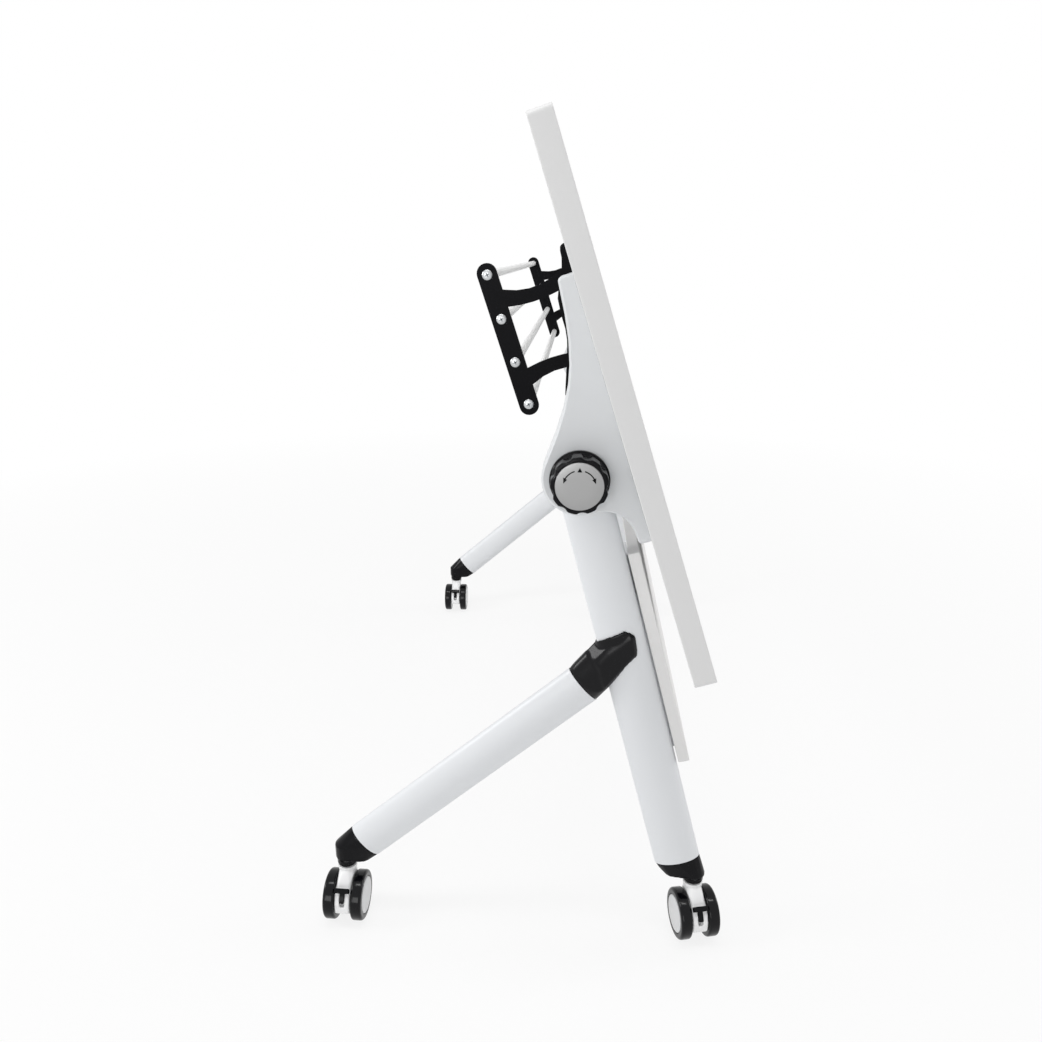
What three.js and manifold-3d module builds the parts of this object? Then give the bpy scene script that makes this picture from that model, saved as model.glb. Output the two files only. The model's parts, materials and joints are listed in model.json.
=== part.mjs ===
// Flip top training table on casters, stored with its top folded up.
// Millimetres. X runs along the table, the user sits on the -Y side, Z is up.
import * as THREE from 'three';
import { ConvexGeometry } from 'three/addons/geometries/ConvexGeometry.js';
import { mergeVertices } from 'three/addons/utils/BufferGeometryUtils.js';
import Module from 'manifold-3d';

const wasm = await Module();
wasm.setup();

// Worktop
const TOP_LENGTH = 1400;
const TOP_DEPTH = 600;
const TOP_THICK = 25;
const TOP_CORNER = 6;
const EDGE_BAND = 2;
const EDGE_ROUND = 1.2;
const WORK_HEIGHT = 744;

// Flip axis
const PIVOT_DROP = 62;
const USER_OVERHANG = 372;
const STORED_LEAN = 18;

// Legs: an oval main leg that hangs from the flip axis, and an oval foreleg
const END_OVERHANG = 155;
const LEG_LEAN = 15;
const LEG_WIDE = 62;
const LEG_THICK = 30;
const FORELEG_RISE = 40.7;
const FORELEG_WIDE = 56;
const FORELEG_THICK = 28;
const TUBE_WALL = 2;
const JOINT_DOWN_LEG = 242;
const PLUG_LENGTH = 28;

// Leg caps: black feet that turn from the tube into an upright caster socket
const CAP_OVER_WHEEL = 12;
const REAR_CAP_TALL = 36;
const FRONT_CAP_TALL = 40.5;
const CAP_NECK_RADIUS = 13.75;
const CAP_NECK_TALL = 11;
const CAP_NECK_CHAMFER = 3;
const CAP_COLUMN_RADIUS = 15.5;
const CAP_TOP_CHAMFER = 5;
const CAP_HEEL_RADIUS = 12;
const REAR_NECK_REACH = 24;
const FRONT_NECK_REACH = -29;
const REAR_HEEL_REACH = -4;
const CAP_BELLY = 8;
const CAP_BELLY_SHARE = 0.93;
const FRONT_HEEL_REACH = -6.7;
const REAR_COLUMN_TALL = 16;
const FRONT_COLUMN_TALL = 39;
const SOCKET_DEEP = 36;

// Leg joint: a black saddle round the main leg that takes the foreleg's end
const JOINT_MOUTH = 69;
const JOINT_HALF_THICK = 19;
const JOINT_CORNER = 9;
const JOINT_EDGE = 5;
// Middles of the pad's round corners, across the foreleg and along it from the main leg
const JOINT_PAD = [[-29, -13], [-25.5, 17], [-18, 19.5], [-1, 9], [10, -44]];

// Leg head, pivot and lock
const HEAD_PAST_LEG = 5;
const HEAD_THICK = 32;
const HEAD_TONGUE = 44;
const BEAM_RADIUS = 25;
const BEAM_WALL = 2;
const STUB_RADIUS = 14;
const STUB_SEAT = 28;
const BUSH_WALL = 2.6;
const SHAFT_RADIUS = 6.6;
const SHAFT_SEAT = 26;
const LOCK_RADIUS = 4;
const LOCK_OFFSET = 26;
const LOCK_ANGLE = 200;
const LOCK_LENGTH = 20;

// Knob and its face disc
const KNOB_RADIUS = 35.5;
const KNOB_LONG = 32;
const KNOB_SKIRT = 5;
const KNOB_EDGE = 3.5;
const KNOB_SCALLOPS = 9;
const SCALLOP_RADIUS = 10;
const SCALLOP_DEEP = 2;
const SCALLOP_FIRST = 76;
const DISC_RADIUS = 28.2;
const DISC_THICK = 2;
const DISC_CROWN = 0.8;

// Tilt bracket: a cast fork round the leg head with a long and a short tail under the top
const HUB_PAST_HEAD = 9;
const HUB_LEAVE = 50;
const CHEEK_THICK = 7;
const LONG_TAIL = 224;
const LONG_TAIL_TALL = 20.5;
const SHORT_TAIL = 98;
const SHORT_TAIL_TALL = 17.5;
const TAIL_CORNER = 6;
const BRACKET_EDGE = 2.5;
const FORK_CLEAR = 3;
const POCKET_WALL = 5.5;
const POCKET_RIB = 6;

// Book shelf under the top: two black plates and four rods
const SHELF_INSET = 206;
const SHELF_PLATE = 4;
const SHELF_MIDDLE = 171;
const ROD_DROP = 100;
const ROD_COUNT = 4;
const ROD_PITCH = 53.4;
const ROD_RADIUS = 5.5;
const BAR_WIDE = 24;
const BAR_PAST_ROD = 13.5;
const ARM_WIDE = 13;
const ARM_SPACING = 107;
const ARM_SAG = 22;
const ARM_FLARE = 4;
const ARM_ROOT = 6;
const SPINE_LENGTH = 174;
// Free edge of the spine: towards the user from the shelf's middle, and down from the top
const SPINE_EDGE = [[86, 6], [82, 10], [64, 13], [29, 29], [-11, 31], [-35, 37], [-71, 50], [-83, 54]];
const SHELF_FLANGE = 22;

// Modesty panel and the angles that hang it on the legs
const PANEL_THICK = 15;
const PANEL_TALL = 300;
const PANEL_DOWN_LEG = 110;
const PANEL_PAST_LEG = 7;
const PANEL_OFF_LEG = 2;
const PANEL_EDGE = 1;
const ANGLE_DOWN_LEG = 118;
const ANGLE_GRIP = 66;
const ANGLE_TAIL = 280;
const ANGLE_PLATE = 3;
const ANGLE_LEAF = 48;
const ANGLE_TOE = 10;

// Twin wheel casters
const WHEEL_RADIUS = 34;
const WHEEL_WIDE = 16.6;
const WHEEL_CLEAR = 0.8;
const TREAD_ROUND = 3;
const TYRE_TALL = 9.5;
const CASTER_TRAIL = 10;
const BODY_INSIDE = 3;
const BODY_HALF = 10.8;
const BODY_EDGE = 1.5;
const BODY_BELOW_AXLE = 9.5;
const COLLAR_RADIUS = 13.5;
const COLLAR_TALL = 5.5;
const STEM_RADIUS = 5.6;
const STEM_BELOW_CAP = 25;
const STEM_IN_SOCKET = 34;
const AXLE_RADIUS = 4;
const AXLE_COVER = 3;
const PEDAL_HALF = 3.1;
const PEDAL_BAR_HALF = 10;
const PEDAL_DEEP = 7.5;
const PEDAL_PROUD = 7.5;
const PEDAL_FROM = 17;
const PEDAL_TO = 47;
const PEDAL_BAR_FROM = 41;
const PEDAL_BAR_TO = 51;
const PEDAL_TRAVEL = 11;
const HEADINGS = { front_right: -1, rear_right: 13, front_left: 2, rear_left: -6 };

// Fits: pieces that seat, pieces that turn, and faces that pass each other
const SEAT_GAP = 0.3;
const RUN_GAP = 0.4;
const SIDE_GAP = 0.5;
const SLIVER = 1;

// Smoothness
const ROUND = 24;
const WHEEL_ROUND = 18;
const MOULD_ROUND = 16;
const SMALL_ROUND = 12;

// Values worked out from the sizes above
const rad = THREE.MathUtils.degToRad;
const LEG_X = TOP_LENGTH / 2 - END_OVERHANG;
const UNDERSIDE = PIVOT_DROP;
const PIVOT_HEIGHT = WORK_HEIGHT - TOP_THICK - PIVOT_DROP;
const FLIP = 90 - STORED_LEAN;
const HEAD_RADIUS = LEG_WIDE / 2 + HEAD_PAST_LEG;
const HUB_RADIUS = HEAD_RADIUS + HUB_PAST_HEAD;
const CAP_BOTTOM = 2 * WHEEL_RADIUS + CAP_OVER_WHEEL;
const REAR_TUBE_END = CAP_BOTTOM + REAR_CAP_TALL;
const FRONT_TUBE_END = CAP_BOTTOM + FRONT_CAP_TALL;
const WHEEL_INNER = BODY_HALF + WHEEL_CLEAR;
const WHEEL_OUTER = WHEEL_INNER + WHEEL_WIDE;
const HUBCAP_RADIUS = WHEEL_RADIUS - TYRE_TALL;
const BODY_RADIUS = WHEEL_RADIUS - BODY_INSIDE;
const BODY_FLOOR = WHEEL_RADIUS - BODY_BELOW_AXLE;
const STEM_FOOT = CAP_BOTTOM - STEM_BELOW_CAP;
const AXLE_HALF = WHEEL_OUTER - AXLE_COVER;
const PEDAL_ROOT = BODY_RADIUS - PEDAL_DEEP;
const PEDAL_REACH = BODY_RADIUS + PEDAL_PROUD;
const HEAD_HALF = HEAD_THICK / 2;
const FORK_HALF = HEAD_HALF + SIDE_GAP;
const BRACKET_HALF = FORK_HALF + CHEEK_THICK;
const KNOB_BACK = BRACKET_HALF + SIDE_GAP;
const KNOB_FRONT = KNOB_BACK + KNOB_LONG;
const SHELF_X = TOP_LENGTH / 2 - SHELF_INSET;
const JOINT_Y = JOINT_DOWN_LEG * Math.sin(rad(LEG_LEAN));
const JOINT_Z = -JOINT_DOWN_LEG * Math.cos(rad(LEG_LEAN));
const LEG_END = (REAR_TUBE_END - PIVOT_HEIGHT) / Math.cos(rad(LEG_LEAN));
const FORELEG_END = (FRONT_TUBE_END - PIVOT_HEIGHT - JOINT_Z) / Math.sin(rad(FORELEG_RISE));
const REAR_TUBE_Y = -LEG_END * Math.sin(rad(LEG_LEAN));
const FRONT_TUBE_Y = JOINT_Y + FORELEG_END * Math.cos(rad(FORELEG_RISE));
const REAR_NECK_Y = REAR_TUBE_Y + REAR_NECK_REACH;
const FRONT_NECK_Y = FRONT_TUBE_Y + FRONT_NECK_REACH;

// Finishes
function finish(color, roughness, metalness) {
  return new THREE.MeshStandardMaterial({ color, roughness, metalness });
}
const LAMINATE = finish(0xdedddb, 0.55, 0);
const BAND = finish(0xd6d6d4, 0.45, 0);
const POWDER_COAT = finish(0xdfe2e5, 0.35, 0.1);
const CAST_PAINT = finish(0xcdd0d2, 0.4, 0.1);
const BLACK_STEEL = finish(0x1b1b1e, 0.5, 0.2);
const BLACK_PLASTIC = finish(0x17181a, 0.25, 0);
const WHITE_PLASTIC = finish(0xe8e8e8, 0.3, 0);
const TYRE = finish(0x1c1c1e, 0.4, 0);
const ZINC = finish(0xa9adb0, 0.35, 0.9);
const SATIN_SILVER = finish(0xadafb1, 0.4, 0.6);
const BUSH_PLASTIC = finish(0x2b2c2e, 0.5, 0);

// Turns a shape drawn in Y and Z so that its depth runs along X
const ACROSS = new THREE.Matrix4().makeBasis(
  new THREE.Vector3(0, 1, 0),
  new THREE.Vector3(0, 0, 1),
  new THREE.Vector3(1, 0, 0),
);

// Turns a shape drawn in X and Z so that its depth runs along Y
const SIDEWAYS = new THREE.Matrix4().makeRotationX(Math.PI / 2);

// A closed geometry as a solid that can be joined and cut, with its faces turned out
function solid(geometry) {
  const bare = new THREE.BufferGeometry();
  bare.setAttribute('position', geometry.getAttribute('position').clone());
  bare.setIndex(geometry.index ? geometry.index.clone() : null);
  const welded = mergeVertices(bare, 1e-4);
  const points = welded.getAttribute('position');
  const corners = [];
  const a = new THREE.Vector3();
  const b = new THREE.Vector3();
  const c = new THREE.Vector3();
  let volume = 0;
  for (let i = 0; i < welded.index.count; i += 3) {
    const [p, q, r] = [0, 1, 2].map((k) => welded.index.getX(i + k));
    if (p === q || q === r || r === p) continue;
    corners.push(p, q, r);
    a.fromBufferAttribute(points, p);
    b.fromBufferAttribute(points, q);
    c.fromBufferAttribute(points, r);
    volume += a.dot(b.cross(c));
  }
  if (volume < 0) corners.reverse();
  return new wasm.Manifold(new wasm.Mesh({
    numProp: 3,
    vertProperties: Float32Array.from(points.array),
    triVerts: Uint32Array.from(corners),
  }));
}

function geometryOf(body) {
  const source = body.getMesh();
  const geometry = new THREE.BufferGeometry();
  geometry.setAttribute('position', new THREE.BufferAttribute(source.vertProperties, 3));
  geometry.setIndex(new THREE.BufferAttribute(source.triVerts, 1));
  return geometry;
}

// The mirror image of a body, for the left end of the table
function handed(body, side) {
  if (side > 0) return body;
  return solid(geometryOf(body).scale(-1, 1, 1));
}

function moved(body, matrix) {
  return solid(geometryOf(body).applyMatrix4(matrix));
}

function piece(group, name, body, material) {
  const geometry = geometryOf(body);
  geometry.computeVertexNormals();
  const mesh = new THREE.Mesh(geometry, material);
  mesh.name = name;
  group.add(mesh);
}

// Shape helpers
function oval(thick, wide) {
  const shape = new THREE.Shape();
  shape.absellipse(0, 0, thick / 2, wide / 2, 0, 2 * Math.PI);
  return shape;
}

function roundedRectangle(x0, y0, x1, y1, radius) {
  const shape = new THREE.Shape();
  shape.absarc(x1 - radius, y0 + radius, radius, -Math.PI / 2, 0);
  shape.absarc(x1 - radius, y1 - radius, radius, 0, Math.PI / 2);
  shape.absarc(x0 + radius, y1 - radius, radius, Math.PI / 2, Math.PI);
  shape.absarc(x0 + radius, y0 + radius, radius, Math.PI, 1.5 * Math.PI);
  return shape;
}

// Part of a flat ring between two angles, in degrees
function sector(inner, outer, from, to) {
  const shape = new THREE.Shape();
  shape.absarc(0, 0, outer, rad(from), rad(to), false);
  shape.absarc(0, 0, inner, rad(to), rad(from), true);
  return shape;
}

function polygon(points) {
  return new THREE.Shape(points.map(([x, y]) => new THREE.Vector2(x, y)));
}

// A shape drawn in X and Y, standing from one height to another
function prism(shape, from, to, edge = 0, curveSegments = ROUND / 2, bevelSegments = 2) {
  const geometry = new THREE.ExtrudeGeometry(shape, {
    depth: to - from - 2 * edge,
    bevelEnabled: edge > 0,
    bevelThickness: edge,
    bevelSize: edge,
    bevelOffset: -edge,
    bevelSegments,
    curveSegments,
  });
  return geometry.translate(0, 0, from + edge);
}

// A shape drawn in Y and Z, running from one X to another
function across(shape, from, to, edge = 0, curveSegments = ROUND / 2) {
  return solid(prism(shape, from, to, edge, curveSegments, 1).applyMatrix4(ACROSS));
}

// A round bar along X, Y or Z, with its middle line through a point
function bar(axis, radius, from, to, x, y, z, sides = ROUND) {
  const geometry = new THREE.CylinderGeometry(radius, radius, to - from, sides);
  geometry.translate(0, (from + to) / 2, 0);
  if (axis === 'x') geometry.rotateZ(-Math.PI / 2);
  if (axis === 'z') geometry.rotateX(Math.PI / 2);
  return solid(geometry.translate(x, y, z));
}

function block(x0, x1, y0, y1, z0, z1) {
  const geometry = new THREE.BoxGeometry(x1 - x0, y1 - y0, z1 - z0);
  return solid(geometry.translate((x0 + x1) / 2, (y0 + y1) / 2, (z0 + z1) / 2));
}

// A profile of [radius, height] pairs turned about the Y axis
function turned(profile, sides) {
  return new THREE.LatheGeometry(profile.map(([r, h]) => new THREE.Vector2(r, h)), sides);
}

// Points of an oval ring at one height of a turned frame
function ring(halfX, halfY, x, y, z, matrix = new THREE.Matrix4()) {
  return Array.from({ length: MOULD_ROUND }, (_, i) => {
    const turn = (2 * Math.PI * i) / MOULD_ROUND;
    const point = new THREE.Vector3(x + halfX * Math.cos(turn), y + halfY * Math.sin(turn), z);
    return point.applyMatrix4(matrix);
  });
}

// Tubes are drawn along their own Z, with the end at the foot at the lowest Z
const LEG_FRAME = new THREE.Matrix4().makeRotationX(rad(LEG_LEAN));
const FORELEG_FRAME = new THREE.Matrix4()
  .makeTranslation(0, JOINT_Y, JOINT_Z)
  .multiply(new THREE.Matrix4().makeRotationX(rad(FORELEG_RISE - 90)));

function ovalTube(thick, wide, from, to) {
  const outer = solid(prism(oval(thick, wide), from, to));
  const bore = oval(thick - 2 * TUBE_WALL, wide - 2 * TUBE_WALL);
  return outer.subtract(solid(prism(bore, from - SLIVER, to + SLIVER)));
}

function tubePlug(thick, wide, from, to) {
  const shrink = 2 * (TUBE_WALL + SEAT_GAP);
  return solid(prism(oval(thick - shrink, wide - shrink), from, to, 0, MOULD_ROUND / 2));
}

// Worktop: board and edge band, drawn flat with the flip axis at the origin
function worktopOutline(inset, corner) {
  const half = TOP_LENGTH / 2 - inset;
  return roundedRectangle(
    -half, inset - USER_OVERHANG, half, TOP_DEPTH - USER_OVERHANG - inset, corner,
  );
}

function board() {
  const inset = EDGE_BAND + SEAT_GAP;
  return solid(prism(worktopOutline(inset, TOP_CORNER - inset), UNDERSIDE, UNDERSIDE + TOP_THICK, 0, 2));
}

function edgeBand() {
  const outer = prism(worktopOutline(0, TOP_CORNER), UNDERSIDE, UNDERSIDE + TOP_THICK, EDGE_ROUND, 2);
  const inner = worktopOutline(EDGE_BAND, TOP_CORNER - EDGE_BAND);
  const opening = prism(inner, UNDERSIDE - SLIVER, UNDERSIDE + TOP_THICK + SLIVER, 0, 2);
  return solid(outer).subtract(solid(opening));
}

// Under the top, s runs from the flip axis towards the user and h hangs down from the underside
const under = (s, h) => [-s, UNDERSIDE - h];

function bracketOutline() {
  const leave = rad(HUB_LEAVE);
  const leaveS = HUB_RADIUS * Math.cos(leave);
  const leaveH = UNDERSIDE + HUB_RADIUS * Math.sin(leave);
  const run = 2 * HUB_RADIUS;
  const shape = new THREE.Shape();
  shape.moveTo(...under(LONG_TAIL, SEAT_GAP));
  shape.lineTo(...under(LONG_TAIL, LONG_TAIL_TALL - TAIL_CORNER));
  shape.quadraticCurveTo(
    ...under(LONG_TAIL, LONG_TAIL_TALL), ...under(LONG_TAIL - TAIL_CORNER, LONG_TAIL_TALL),
  );
  shape.bezierCurveTo(
    ...under(LONG_TAIL - run, LONG_TAIL_TALL + TAIL_CORNER),
    ...under(leaveS + run * Math.sin(leave), leaveH - run * Math.cos(leave)),
    ...under(leaveS, leaveH),
  );
  shape.absarc(0, 0, HUB_RADIUS, leave - Math.PI, 0);
  shape.bezierCurveTo(
    ...under(-HUB_RADIUS, UNDERSIDE / 2),
    ...under(-HUB_RADIUS - SHORT_TAIL_TALL, SHORT_TAIL_TALL),
    ...under(TAIL_CORNER - SHORT_TAIL, SHORT_TAIL_TALL),
  );
  shape.quadraticCurveTo(
    ...under(-SHORT_TAIL, SHORT_TAIL_TALL), ...under(-SHORT_TAIL, SHORT_TAIL_TALL - TAIL_CORNER),
  );
  shape.lineTo(...under(-SHORT_TAIL, SEAT_GAP));
  return shape;
}

// The gap between the fork's cheeks: the head's round, and the sector that the leg sweeps
function forkGap() {
  const round = bar('x', HEAD_RADIUS + FORK_CLEAR, -FORK_HALF, FORK_HALF, 0, 0, 0, ROUND);
  const half = LEG_WIDE / 2 + FORK_CLEAR;
  const reach = 2 * (HUB_RADIUS + half);
  const sweep = [-90 + LEG_LEAN, -90 + LEG_LEAN + FLIP].map(rad);
  const strips = sweep.map((turn) => {
    const along = new THREE.Vector2(Math.cos(turn), Math.sin(turn)).multiplyScalar(reach);
    const side = new THREE.Vector2(-Math.sin(turn), Math.cos(turn)).multiplyScalar(half);
    const strip = [[side.x, side.y], [-side.x, -side.y], [along.x - side.x, along.y - side.y],
      [along.x + side.x, along.y + side.y]];
    return across(polygon(strip), -FORK_HALF, FORK_HALF);
  });
  const fan = [[0, 0], ...sweep.map((turn) => [reach * Math.cos(turn), reach * Math.sin(turn)])];
  const wedge = across(polygon(fan), -FORK_HALF, FORK_HALF);
  return round.add(strips[0]).add(strips[1]).add(wedge);
}

// A pocket that lightens the long tail, open to the underside of the top
function tailPocket(from, to, tallFrom, tallTo) {
  const half = BRACKET_HALF - POCKET_WALL;
  const corners = [under(from, -SLIVER), under(from, tallFrom), under(to, tallTo), under(to, -SLIVER)];
  return across(polygon(corners), -half, half);
}

function lockPlace(turn) {
  return [LOCK_OFFSET * Math.cos(rad(turn)), LOCK_OFFSET * Math.sin(rad(turn))];
}

function tiltBracket() {
  const middle = (LONG_TAIL + HUB_RADIUS) / 2;
  const nearHub = HUB_RADIUS + POCKET_WALL;
  const tip = LONG_TAIL - 2 * TAIL_CORNER;
  const ribTall = 1.5 * LONG_TAIL_TALL;
  const beamBore = BEAM_RADIUS + RUN_GAP + BEAM_RADIUS * (1 - Math.cos(Math.PI / ROUND));
  const bushBore = STUB_RADIUS + RUN_GAP + BUSH_WALL + SEAT_GAP;
  let body = across(bracketOutline(), -BRACKET_HALF, BRACKET_HALF, BRACKET_EDGE, 7)
    .subtract(forkGap())
    .subtract(tailPocket(nearHub, middle - POCKET_RIB / 2, 2.8 * LONG_TAIL_TALL, ribTall))
    .subtract(tailPocket(middle + POCKET_RIB / 2, tip, 1.4 * LONG_TAIL_TALL, LONG_TAIL_TALL - POCKET_WALL))
    .subtract(bar('x', beamBore, -BRACKET_HALF - SLIVER, 0, 0, 0, 0, ROUND))
    .subtract(bar('x', bushBore, 0, BRACKET_HALF + SLIVER, 0, 0, 0, ROUND));
  for (const turn of [LOCK_ANGLE, LOCK_ANGLE + FLIP]) {
    const [y, z] = lockPlace(turn);
    body = body.subtract(bar('x', LOCK_RADIUS + RUN_GAP, 0, BRACKET_HALF + SLIVER, 0, y, z, SMALL_ROUND));
  }
  return body;
}

// Shelf plate: an outer bar that takes the rods, two flared arms, a spine and a screw flange
function shelfArm(mirror) {
  const at = (offset, h) => under(SHELF_MIDDLE + mirror * (ARM_SPACING / 2 + offset), h);
  const half = ARM_WIDE / 2;
  const bow = 0.7 * ARM_SAG;
  const [low, high] = [0.3 * ROD_DROP, 0.7 * ROD_DROP];
  const shape = new THREE.Shape();
  shape.moveTo(...at(-half - ARM_ROOT, ROD_DROP));
  shape.bezierCurveTo(
    ...at(-half - bow, high), ...at(-half - bow, low), ...at(ARM_FLARE - half - ARM_ROOT, SLIVER),
  );
  shape.lineTo(...at(ARM_FLARE + half + ARM_ROOT, SLIVER));
  shape.bezierCurveTo(
    ...at(half - bow, low), ...at(half - bow, high), ...at(half + ARM_ROOT, ROD_DROP),
  );
  return shape;
}

function shelfBar() {
  const length = (ROD_COUNT - 1) * ROD_PITCH + 2 * BAR_PAST_ROD;
  const [y, z] = under(SHELF_MIDDLE, ROD_DROP);
  const half = BAR_WIDE / 2;
  return roundedRectangle(y - length / 2, z - half, y + length / 2, z + half, half - SLIVER / 4);
}

function shelfSpine() {
  const half = SPINE_LENGTH / 2;
  const edge = SPINE_EDGE.map(([s, h]) => new THREE.Vector2(...under(SHELF_MIDDLE + s, h)));
  const shape = new THREE.Shape();
  shape.moveTo(...under(SHELF_MIDDLE + half, SEAT_GAP));
  shape.splineThru(edge);
  shape.lineTo(...under(SHELF_MIDDLE - half, SEAT_GAP));
  return shape;
}

function shelfPlate() {
  const [flangeY1, flangeZ] = under(SHELF_MIDDLE - ARM_SPACING / 2 - ARM_WIDE, SEAT_GAP);
  const [flangeY0] = under(SHELF_MIDDLE + ARM_SPACING / 2 + ARM_WIDE, 0);
  return across(shelfBar(), -SHELF_PLATE, 0, 0, 3)
    .add(across(shelfArm(1), -SHELF_PLATE, 0, 0, 7))
    .add(across(shelfArm(-1), -SHELF_PLATE, 0, 0, 7))
    .add(across(shelfSpine(), -SHELF_PLATE, 0, 0, 2))
    .add(block(-SHELF_FLANGE, 0, flangeY0, flangeY1, flangeZ - SHELF_PLATE, flangeZ));
}

// Leg head: a round boss on the flip axis with a tongue that goes down into the main leg
function legHead() {
  const stubBore = STUB_RADIUS + SEAT_GAP;
  const [lockY, lockZ] = lockPlace(LOCK_ANGLE);
  const tongue = tubePlug(LEG_THICK, LEG_WIDE, -HEAD_RADIUS - HEAD_TONGUE, 0);
  return bar('x', HEAD_RADIUS, -HEAD_HALF, HEAD_HALF, 0, 0, 0, ROUND)
    .add(moved(tongue, LEG_FRAME))
    .subtract(bar('x', stubBore, HEAD_HALF - STUB_SEAT, HEAD_HALF + SLIVER, 0, 0, 0, ROUND))
    .subtract(bar('x', LOCK_RADIUS + SEAT_GAP, HEAD_HALF - LOCK_LENGTH - SLIVER, HEAD_HALF + SLIVER,
      0, lockY, lockZ, SMALL_ROUND));
}

function mainLeg() {
  const notch = bar('x', HEAD_RADIUS + SEAT_GAP, -LEG_WIDE, LEG_WIDE, 0, 0, 0, ROUND);
  return ovalTube(LEG_THICK, LEG_WIDE, LEG_END, 0).subtract(notch);
}

function foreleg() {
  return ovalTube(FORELEG_THICK, FORELEG_WIDE, FORELEG_END, -JOINT_MOUTH - SEAT_GAP);
}

// Leg joint: drawn in the foreleg's frame as a hull from the tube's oval to a rounded saddle pad
function legJoint() {
  const points = ring(FORELEG_THICK / 2, FORELEG_WIDE / 2, 0, 0, -JOINT_MOUTH);
  for (const [y, z] of JOINT_PAD) {
    for (const inset of [0, JOINT_EDGE]) {
      const x = JOINT_HALF_THICK - JOINT_EDGE + inset;
      const radius = JOINT_CORNER - inset;
      for (let i = 0; i < SMALL_ROUND; i += 1) {
        const turn = (2 * Math.PI * i) / SMALL_ROUND;
        const place = [y + radius * Math.cos(turn), z + radius * Math.sin(turn)];
        points.push(new THREE.Vector3(x, ...place), new THREE.Vector3(-x, ...place));
      }
    }
  }
  const shell = solid(new ConvexGeometry(points).applyMatrix4(FORELEG_FRAME));
  const plug = tubePlug(FORELEG_THICK, FORELEG_WIDE, -JOINT_MOUTH - PLUG_LENGTH, -JOINT_MOUTH + SLIVER);
  const legBore = oval(LEG_THICK + 2 * SEAT_GAP, LEG_WIDE + 2 * SEAT_GAP);
  const passage = moved(solid(prism(legBore, LEG_END, 0)), LEG_FRAME);
  return shell.add(moved(plug, FORELEG_FRAME)).subtract(passage);
}

// Leg cap: the hull of the tube's oval end, a heel and an upright column, with a neck and a socket
function legCap(thick, wide, frame, tubeEnd, neckY, heelY, columnTall) {
  const foot = CAP_BOTTOM - PIVOT_HEIGHT;
  const shoulder = foot + CAP_NECK_TALL;
  const top = foot + columnTall;
  const topRadius = CAP_COLUMN_RADIUS - CAP_TOP_CHAMFER;
  const points = [
    ...ring(thick / 2, wide / 2, 0, 0, tubeEnd - SEAT_GAP, frame),
    ...ring((thick / 2) * CAP_BELLY_SHARE, (wide / 2) * CAP_BELLY_SHARE, 0, 0, tubeEnd - CAP_BELLY, frame),
    ...ring(CAP_HEEL_RADIUS, CAP_HEEL_RADIUS, 0, heelY, shoulder),
    ...ring(CAP_NECK_RADIUS, CAP_NECK_RADIUS, 0, neckY, shoulder),
    ...ring(CAP_COLUMN_RADIUS, CAP_COLUMN_RADIUS, 0, neckY, shoulder + CAP_NECK_CHAMFER),
    ...ring(CAP_COLUMN_RADIUS, CAP_COLUMN_RADIUS, 0, neckY, top - CAP_TOP_CHAMFER),
    ...ring(topRadius, topRadius, 0, neckY, top),
  ];
  const neck = turned([
    [0, foot], [CAP_NECK_RADIUS - CAP_NECK_CHAMFER, foot], [CAP_NECK_RADIUS, foot + CAP_NECK_CHAMFER],
    [CAP_NECK_RADIUS, shoulder + SLIVER], [0, shoulder + SLIVER],
  ], MOULD_ROUND).rotateX(Math.PI / 2).translate(0, neckY, 0);
  const plug = tubePlug(thick, wide, tubeEnd - SLIVER, tubeEnd + PLUG_LENGTH);
  return solid(new ConvexGeometry(points))
    .add(solid(neck))
    .add(moved(plug, frame))
    .subtract(bar('z', STEM_RADIUS + RUN_GAP, foot - SLIVER, foot + SOCKET_DEEP, 0, neckY, 0, SMALL_ROUND));
}

// Pivot stub, its bush, the lock pin, the knob with its shaft, and the knob's face disc
function pivotStub() {
  const from = HEAD_HALF - STUB_SEAT + SEAT_GAP;
  return bar('x', STUB_RADIUS, from, BRACKET_HALF, 0, 0, 0, ROUND)
    .subtract(bar('x', SHAFT_RADIUS + RUN_GAP, from - SLIVER, BRACKET_HALF + SLIVER, 0, 0, 0, SMALL_ROUND));
}

function pivotBush() {
  const inside = STUB_RADIUS + RUN_GAP;
  return bar('x', inside + BUSH_WALL, FORK_HALF, BRACKET_HALF, 0, 0, 0, ROUND)
    .subtract(bar('x', inside, 0, BRACKET_HALF + SLIVER, 0, 0, 0, ROUND));
}

function lockPin() {
  const [y, z] = lockPlace(LOCK_ANGLE);
  return bar('x', LOCK_RADIUS, HEAD_HALF - LOCK_LENGTH, HEAD_HALF - SEAT_GAP, 0, y, z, SMALL_ROUND);
}

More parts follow.
